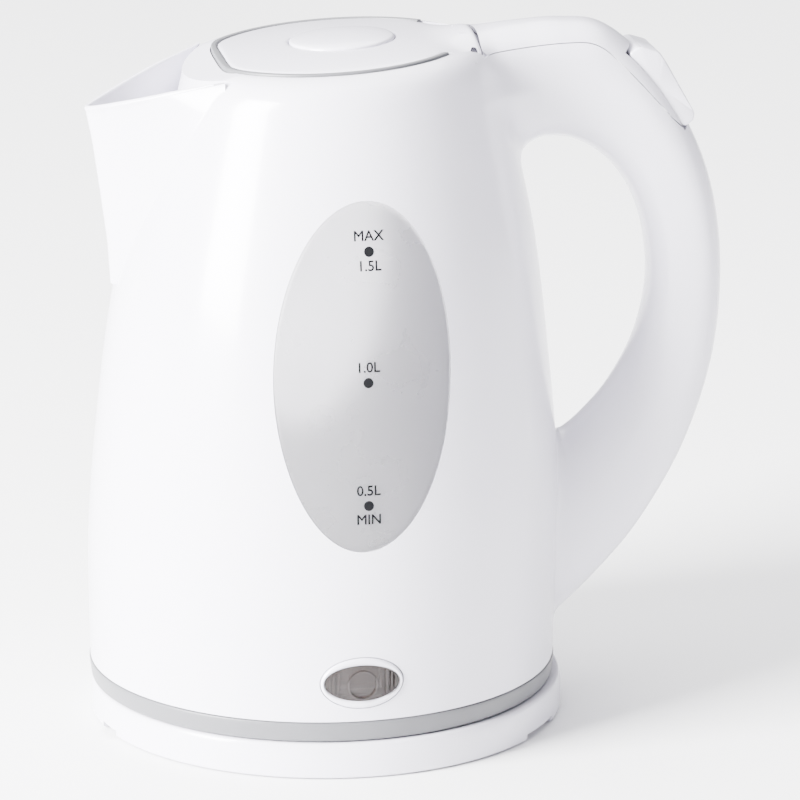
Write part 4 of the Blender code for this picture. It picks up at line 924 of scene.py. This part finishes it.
def text_mesh(body, size):
    curve = bpy.data.curves.new("mark_text", 'FONT')
    curve.body = body
    curve.size = size
    curve.align_x = 'CENTER'
    curve.align_y = 'CENTER'
    curve.extrude = 0.00004
    curve.bevel_depth = 0.00006
    curve.bevel_resolution = 0
    curve.resolution_u = 4
    return as_mesh(placed("mark_text", curve))


def make_marks():
    """Generic level marks on both windows: a dot for each level with its reading beside it."""
    for name, side in (("level_marks_near", -1), ("level_marks_far", 1)):
        bm = bmesh.new()
        for z, above, below in MARKS:
            dot = bmesh.ops.create_cone(bm, cap_ends=True, segments=32, radius1=DOT_RADIUS,
                                        radius2=DOT_RADIUS, depth=0.00012)
            for vertex in dot["verts"]:
                x, y, rise = vertex.co
                vertex.co = on_jug(jug_centre(z) + MARK_SHIFT + x, z + y, side, MARK_RISE + rise)
            for body, shift in ((above, TEXT_ABOVE), (below, TEXT_BELOW)):
                if not body:
                    continue
                glyphs = text_mesh(body, TEXT_SIZE)
                for vertex in glyphs.vertices:
                    x, y, rise = vertex.co
                    place = jug_centre(z) + MARK_SHIFT - side * x
                    vertex.co = on_jug(place, z + shift + y, side, MARK_RISE + rise)
                bm.from_mesh(glyphs)
        piece(name, finished(bm, name), "black_plastic", "jug", look=INK)


LENS_BACK = -0.0012
LENS_SHARE_HIGH = 0.79
OPENING_WIDE = 0.915
# across and up as shares of the rim's outer oval, and how far it stands proud of the jug
RIM_SECTION = ((OPENING_WIDE, 0.72, LENS_BACK), (OPENING_WIDE, 0.72, 0.0002), (0.935, 0.78, 0.0006),
               (0.96, 0.88, 0.0007), (0.985, 0.96, 0.0005), (1.0, 1.0, 0.0001), (1.0, 1.0, LENS_BACK))
BOSS_SECTION = ((0.0040, 0.0004), (0.0040, 0.0011), (0.0043, 0.0013), (0.0046, 0.0011),
                (0.0046, 0.0004))
BOSS_Z = LENS_Z - 0.0004
GRIPS = (-0.0100, -0.0088, -0.0072, 0.0072, 0.0088, 0.0100)
GRIP_HALF_WIDTH = 0.0003
GRIP_SHARE_HIGH = 0.71


def on_near_side(outline, proud):
    return [on_jug(x, z, -1, proud) for x, z in outline]


def make_lens():
    """Smoked oval over the lamp, its white rim, and the round boss and the ribs moulded in it."""
    centre = (LENS_X - jug_centre(LENS_Z), LENS_Z)
    half = (LENS_HALF_WIDTH, LENS_SHARE_HIGH * LENS_HALF_HEIGHT)
    dome = [(share, 0.0008 - 0.0006 * share ** 2) for share in (0.02, 0.2, 0.4, 0.6, 0.75, 0.86, 0.90)]
    back = [(share, LENS_BACK) for share in (0.02, 0.5, 0.90)]
    lens = oval_slab("lamp_lens", centre, half, -1, dome, back)
    piece("lamp_lens", lens, "lens", "jug", ["indicator_lens"])

    rings = []
    for wide, high, proud in RIM_SECTION:
        oval = ellipse(LENS_X, LENS_Z, wide * LENS_HALF_WIDTH, high * LENS_HALF_HEIGHT, 128)
        rings.append(on_near_side(oval, proud))
    piece("lens_rim", loft("lens_rim", rings, closed=True), "white_shell", "jug")
    rings = [on_near_side(ellipse(LENS_X, BOSS_Z, radius, radius, 96), proud)
             for radius, proud in BOSS_SECTION]
    piece("lens_boss", loft("lens_boss", rings, closed=True), "lens", "jug")

    for number, x in enumerate(GRIPS):
        across = x / (OPENING_WIDE * LENS_HALF_WIDTH)
        tall = GRIP_SHARE_HIGH * LENS_HALF_HEIGHT * sqrt(1 - across ** 2) - GRIP_HALF_WIDTH
        left, right = x - GRIP_HALF_WIDTH, x + GRIP_HALF_WIDTH
        outline = rounded([(left, -tall), (right, -tall), (right, tall), (left, tall)],
                          0.0002, 3, closed=True)
        outline = [(LENS_X + u, LENS_Z + v) for u, v in outline]
        rings = [on_near_side(outline, proud) for proud in (0.0002, 0.0010)]
        piece(f"lens_grip_{number + 1}", loft("lens_grip", rings), "lens", "jug")


# ---- base and band ----
BASE_LOW = 0.0004
# middle and width, in degrees, of the shallow reliefs in the skirt's lower edge
SKIRT_RELIEFS = ((-34, 15), (196, 8))
RELIEF_CUT = 0.0040


def make_base():
    low, radius = BASE_LOW, BASE_RADIUS
    profile = rounded([(0.0150, 0.0108), (0.0200, 0.0108), (0.0640, 0.0106), (radius - 0.0030, BASE_TOP),
                       (radius - 0.0006, BASE_TOP), (radius, BASE_TOP - 0.0030), (radius, low),
                       (radius - 0.0022, low), (radius - 0.0022, 0.0080), (0.0180, 0.0080),
                       (0.0180, 0.0050), (0.0150, 0.0050)], 0.0012, 4)
    shell = turned("base", profile, 240, hollow=True)
    cuts = []
    for middle, width in SKIRT_RELIEFS:
        turn = Matrix.Rotation(radians(middle), 4, 'Z')
        size = (0.012, 2 * radius * sin(radians(width / 2)), RELIEF_CUT)
        cuts.append(moved(block(size), turn @ Matrix.Translation((radius, 0, low))))
    slot = Matrix.Translation((0, radius - 0.001, 0.0042)) @ Matrix.Rotation(radians(90), 4, 'Z')
    cuts.append(moved(block((0.009, 0.0096, 0.0090), (0, 0, -0.0009)), slot))
    shell = combined("base", shell, cuts)
    piece("base_moulding", shell, "white_shell", "power_base", ["base_shell"],
          matrix=Matrix.Translation((BASE_X, 0, 0)))


def make_band():
    low, high, radius = BAND_BOTTOM, BODY_BOTTOM - GAP, BAND_RADIUS
    inner, neck, neck_top = 0.0655, 0.0688, 0.0220
    profile = rounded([(inner, neck_top), (neck, neck_top), (neck, high), (radius - 0.0001, high),
                       (radius, BODY_BOTTOM - 0.0012), (radius - 0.0006, low), (inner, low)], 0.0006, 4)
    piece("grey_band", turned("grey_band", profile, 240, hollow=True), "grey_trim", "jug", ["trim_band"])


# ---- lid ----
BUTTON_HOLE = BUTTON_RADIUS + 0.0004
LID_FOOT = -0.0033
LUG_RADIUS = 0.0022
LUG_HALF_WIDTH = 0.0068


def lid_ring(edge, share, rise=0.0):
    """A ring of the lid's top, from the button's hole (share 0) to the lid's edge (share 1)."""
    points = []
    for reach, turn in edge:
        u = BUTTON_U + BUTTON_HOLE * cos(turn)
        v = BUTTON_HOLE * sin(turn)
        u += (reach * cos(turn) - u) * share
        v += (reach * sin(turn) - v) * share
        points.append((u, v, lid_height(u, v) + rise))
    return points


def make_lid():
    edge = []
    for turn in turns_of(240):
        on_tongue = abs(atan2(sin(turn), cos(turn))) < TONGUE_SIDE
        edge.append((lid_reach(turn) - (0 if on_tongue else RING_WIDTH + GAP), turn, on_tongue))
    plain = [(reach, turn) for reach, turn, _ in edge]

    def foot(inset, tongue_drop, flat):
        points = []
        for reach, turn, on_tongue in edge:
            reach -= inset + (0.0014 if on_tongue else 0.0)
            u, v = polar(reach, turn)
            level = lid_height(u, v) - (tongue_drop if on_tongue else 0.0020)
            points.append((u, v, level if on_tongue or not flat else LID_FOOT))
        return points

    def widened(points, radius):
        return [(BUTTON_U + (x - BUTTON_U) * radius / BUTTON_HOLE, y * radius / BUTTON_HOLE, z)
                for x, y, z in points]

    lip = BUTTON_HOLE + 0.0012
    top = [(0.0, -0.0040), (0.0, -0.0003), (0.004, -0.0001), (0.012, 0.0)]
    top += [(share, 0.0) for share in np.linspace(0.06, 0.93, 12)]
    top += [(0.965, -0.00004), (0.985, -0.00015), (1.0, -0.0004)]
    rings = [lid_ring(plain, share, rise) for share, rise in top]
    rings += [foot(0.0, 0.0014, True), foot(0.0020, 0.0014, True), foot(0.0020, 0.0015, False),
              widened(lid_ring(plain, 0.0, -0.0020), lip), widened(lid_ring(plain, 0.0, -0.0040), lip)]
    shell = loft("lid", rings, closed=True)
    lug = [polar(LUG_RADIUS, radians(degrees)) for degrees in range(180, 361, 10)]
    lug += [(LUG_RADIUS, 0.0012), (0.0011, 0.0036), (-LUG_RADIUS, 0.0036)]
    inverse = LID_FRAME.inverted()
    knuckle = moved(prism("lug", lug, -LUG_HALF_WIDTH, LUG_HALF_WIDTH, axis='Y'), inverse @ HINGE_FRAME)
    bore = moved(rod(0.0013, (0, -0.02, 0), (0, 0.02, 0)), inverse @ HINGE_FRAME)
    shell = combined("lid", shell, [('join', knuckle), bore])
    piece("lid_top", shell, "white_shell", "lid", ["lid_shell"], matrix=LID_FRAME)

    first = TONGUE_SIDE + radians(3.8)
    rings = []
    for turn in np.linspace(first, 2 * pi - first, 240):
        outer = lid_reach(turn)
        inner = outer - RING_WIDTH
        section = rounded([(inner, LID_FOOT), (inner, RING_HEIGHT),
                           (outer, RING_HEIGHT), (outer, LID_FOOT)], 0.0005, 3)
        rings.append([(*polar(reach, turn), z) for reach, z in section])
    piece("lid_ring", loft("lid_ring", rings), "grey_trim", "lid", ["lid_trim_ring"], matrix=LID_FRAME)


def make_button():
    top, low, wall = 0.0026 + BUTTON_PROUD, -0.0006, 0.0014
    stem, stem_low = 0.0020, -0.0034
    profile = [(0, top), (0.004, top - 0.00004), (0.008, top - 0.0002), (0.0120, top - 0.00052),
               (0.0141, top - 0.0008)]
    profile += rounded([(0.0141, top - 0.0008), (BUTTON_RADIUS, top - 0.0012), (BUTTON_RADIUS, low)],
                       0.0013, 6)[1:]
    profile += [(BUTTON_RADIUS - wall, low), (BUTTON_RADIUS - wall, top - 0.0034), (stem, top - 0.0032),
                (stem, stem_low), (0, stem_low)]
    button = turned("button", profile, 160)
    where = LID_FRAME @ Matrix.Translation((BUTTON_U, 0, 0))
    piece("lid_push_button", button, "white_shell", "button", ["lid_button"], matrix=where)


# how far along the switch and out of it each corner of the rocker's side lies
ROCKER_SIDE = ((0.0015, -0.0022), (0.0015, 0.0012), (0.0024, 0.0024), (0.0068, 0.0056), (0.0110, 0.0053),
               (0.0290, 0.0028), (0.0306, 0.0010), (0.0304, -0.0022), (0.0205, -0.0034), (0.0188, -0.0066),
               (0.0160, -0.0076), (0.0132, -0.0066), (0.0115, -0.0034))
ROCKER_MIDDLE = 0.016


def make_rocker():
    """The rocker: a raised bar on its pin across the switch, with soft edges."""
    outline = rounded(ROCKER_SIDE, 0.0012, 5, closed=True)
    middle = Vector((ROCKER_MIDDLE, 0.0))
    rings = []
    for side, inset in ((-1.0, 0.0007), (-0.985, 0.0003), (-0.95, 0.0), (0.95, 0.0), (0.985, 0.0003),
                        (1.0, 0.0007)):
        ring = []
        for along, out in outline:
            away = Vector((along, out)) - middle
            away *= 1 - inset / max(away.length, 0.001)
            point = switch_point(*(middle + away))
            ring.append((point.x, side * ROCKER_HALF_WIDTH, point.z))
        rings.append(ring)
    pivot = switch_point(ROCKER_MIDDLE, -0.004)
    bore = rod(0.0015, pivot + Vector((0, -0.02, 0)), pivot + Vector((0, 0.02, 0)))
    rocker = combined("rocker", loft("rocker", rings), [bore])
    piece("power_rocker", rocker, "white_shell", "rocker", ["rocker_switch"])


# ---- strainer ----
FILTER_FRAME = Matrix.Translation((-0.0446, 0, 0.1700)) @ WALL_TILT


def make_filter():
    outer = rounded([(-0.0165, -0.0205), (0.0165, -0.0205), (0.0165, 0.0160), (0.0120, 0.0205),
                     (-0.0120, 0.0205), (-0.0165, 0.0160)], 0.0025, 5, closed=True)
    # depth of each ring and its share of the frame's outline, across and up
    section = ((0.0, 0.84, 0.86), (0.0, 1, 1), (0.0022, 1, 1), (0.0026, 0.985, 0.985),
               (0.0026, 0.84, 0.86))
    rings = [[(x, y * wide, z * high) for y, z in outer] for x, wide, high in section]
    frame_mesh = loft("strainer_frame", rings, closed=True)
    piece("strainer_frame", frame_mesh, "white_shell", "strainer", ["filter_frame"], matrix=FILTER_FRAME)
    woven = woven_sheet(0.0139, 0.0176)
    piece("strainer_mesh", woven, "steel", "strainer", ["filter_mesh"], matrix=FILTER_FRAME)


def woven_sheet(half_width, half_height, pitch=0.0011, radius=0.00013):
    """Two sets of wires that pass over and under each other."""
    bm = bmesh.new()
    for half_along, half_across, swap in ((half_height, half_width, False),
                                          (half_width, half_height, True)):
        wires = int(2 * half_across / pitch)
        for number in range(wires + 1):
            place = -half_across + (2 * half_across) * number / wires
            path = []
            count = int(2 * half_along / pitch) * 4
            for step in range(count + 1):
                along = -half_along + 2 * half_along * step / count
                wave = radius * cos(pi * along / pitch) * (1 if (number % 2) == swap else -1)
                y, z = (along, place) if swap else (place, along)
                path.append(Vector((0.0012 + wave, y, z)))
            rings = []
            for point in path:
                round_wire = [polar(radius, turn) for turn in turns_of(4)]
                rings.append([bm.verts.new(point + Vector((x, 0, side) if swap else (x, side, 0)))
                              for x, side in round_wire])
            for one, two in zip(rings, rings[1:]):
                walled(bm, one, two)
            bm.faces.new(rings[0])
            bm.faces.new(rings[-1])
    return finished(bm, "woven_sheet")


make_jug()
make_windows()
make_marks()
make_lens()
make_base()
make_band()
make_lid()
make_button()
make_rocker()
make_filter()

# ---- floor, lights, camera ----
floor = placed("floor", prism("floor", [(-6, -6), (6, -6), (6, 6), (-6, 6)], -0.02, 0.0))
floor.data.materials.append(material("floor_pale", (0.96, 0.96, 0.96), (0.95, 0.95, 0.95), 0.7, grain=2.0))


def area_light(name, size, power, place, aim, colour=(1, 1, 1)):
    data = bpy.data.lights.new(name, 'AREA')
    data.shape = 'RECTANGLE'
    data.size, data.size_y = size
    data.energy = power
    data.color = colour
    light = placed(name, data)
    light.location = place
    light.rotation_euler = (Vector(aim) - Vector(place)).to_track_quat('-Z', 'Y').to_euler()


CENTRE = (0, 0, 0.11)
area_light("key", (0.9, 1.5), 520, (-1.8, -0.75, 0.9), CENTRE)
area_light("top", (5, 5), 360, (-0.5, 1.0, 3.0), CENTRE)
area_light("right", (0.5, 1.2), 2, (1.6, -1.1, 0.6), CENTRE, (0.90, 0.88, 1.0))

world = bpy.data.worlds.new("studio")
world.use_nodes = True
set_inputs(world.node_tree.nodes["Background"], {"Color": (0.93, 0.92, 1.0, 1), "Strength": 0.75})
bpy.context.scene.world = world

CAMERA_TILT = 15.75
CAMERA_TURN = 9.3
camera_data = bpy.data.cameras.new("camera")
camera_data.lens = 228.15
camera_data.sensor_width = 36
camera_data.clip_end = 50
camera = placed("camera", camera_data)
camera.location = (-0.24355, -1.4795, 0.5189)
camera.rotation_euler = (radians(90 - CAMERA_TILT), 0, radians(-CAMERA_TURN))
bpy.context.scene.camera = camera
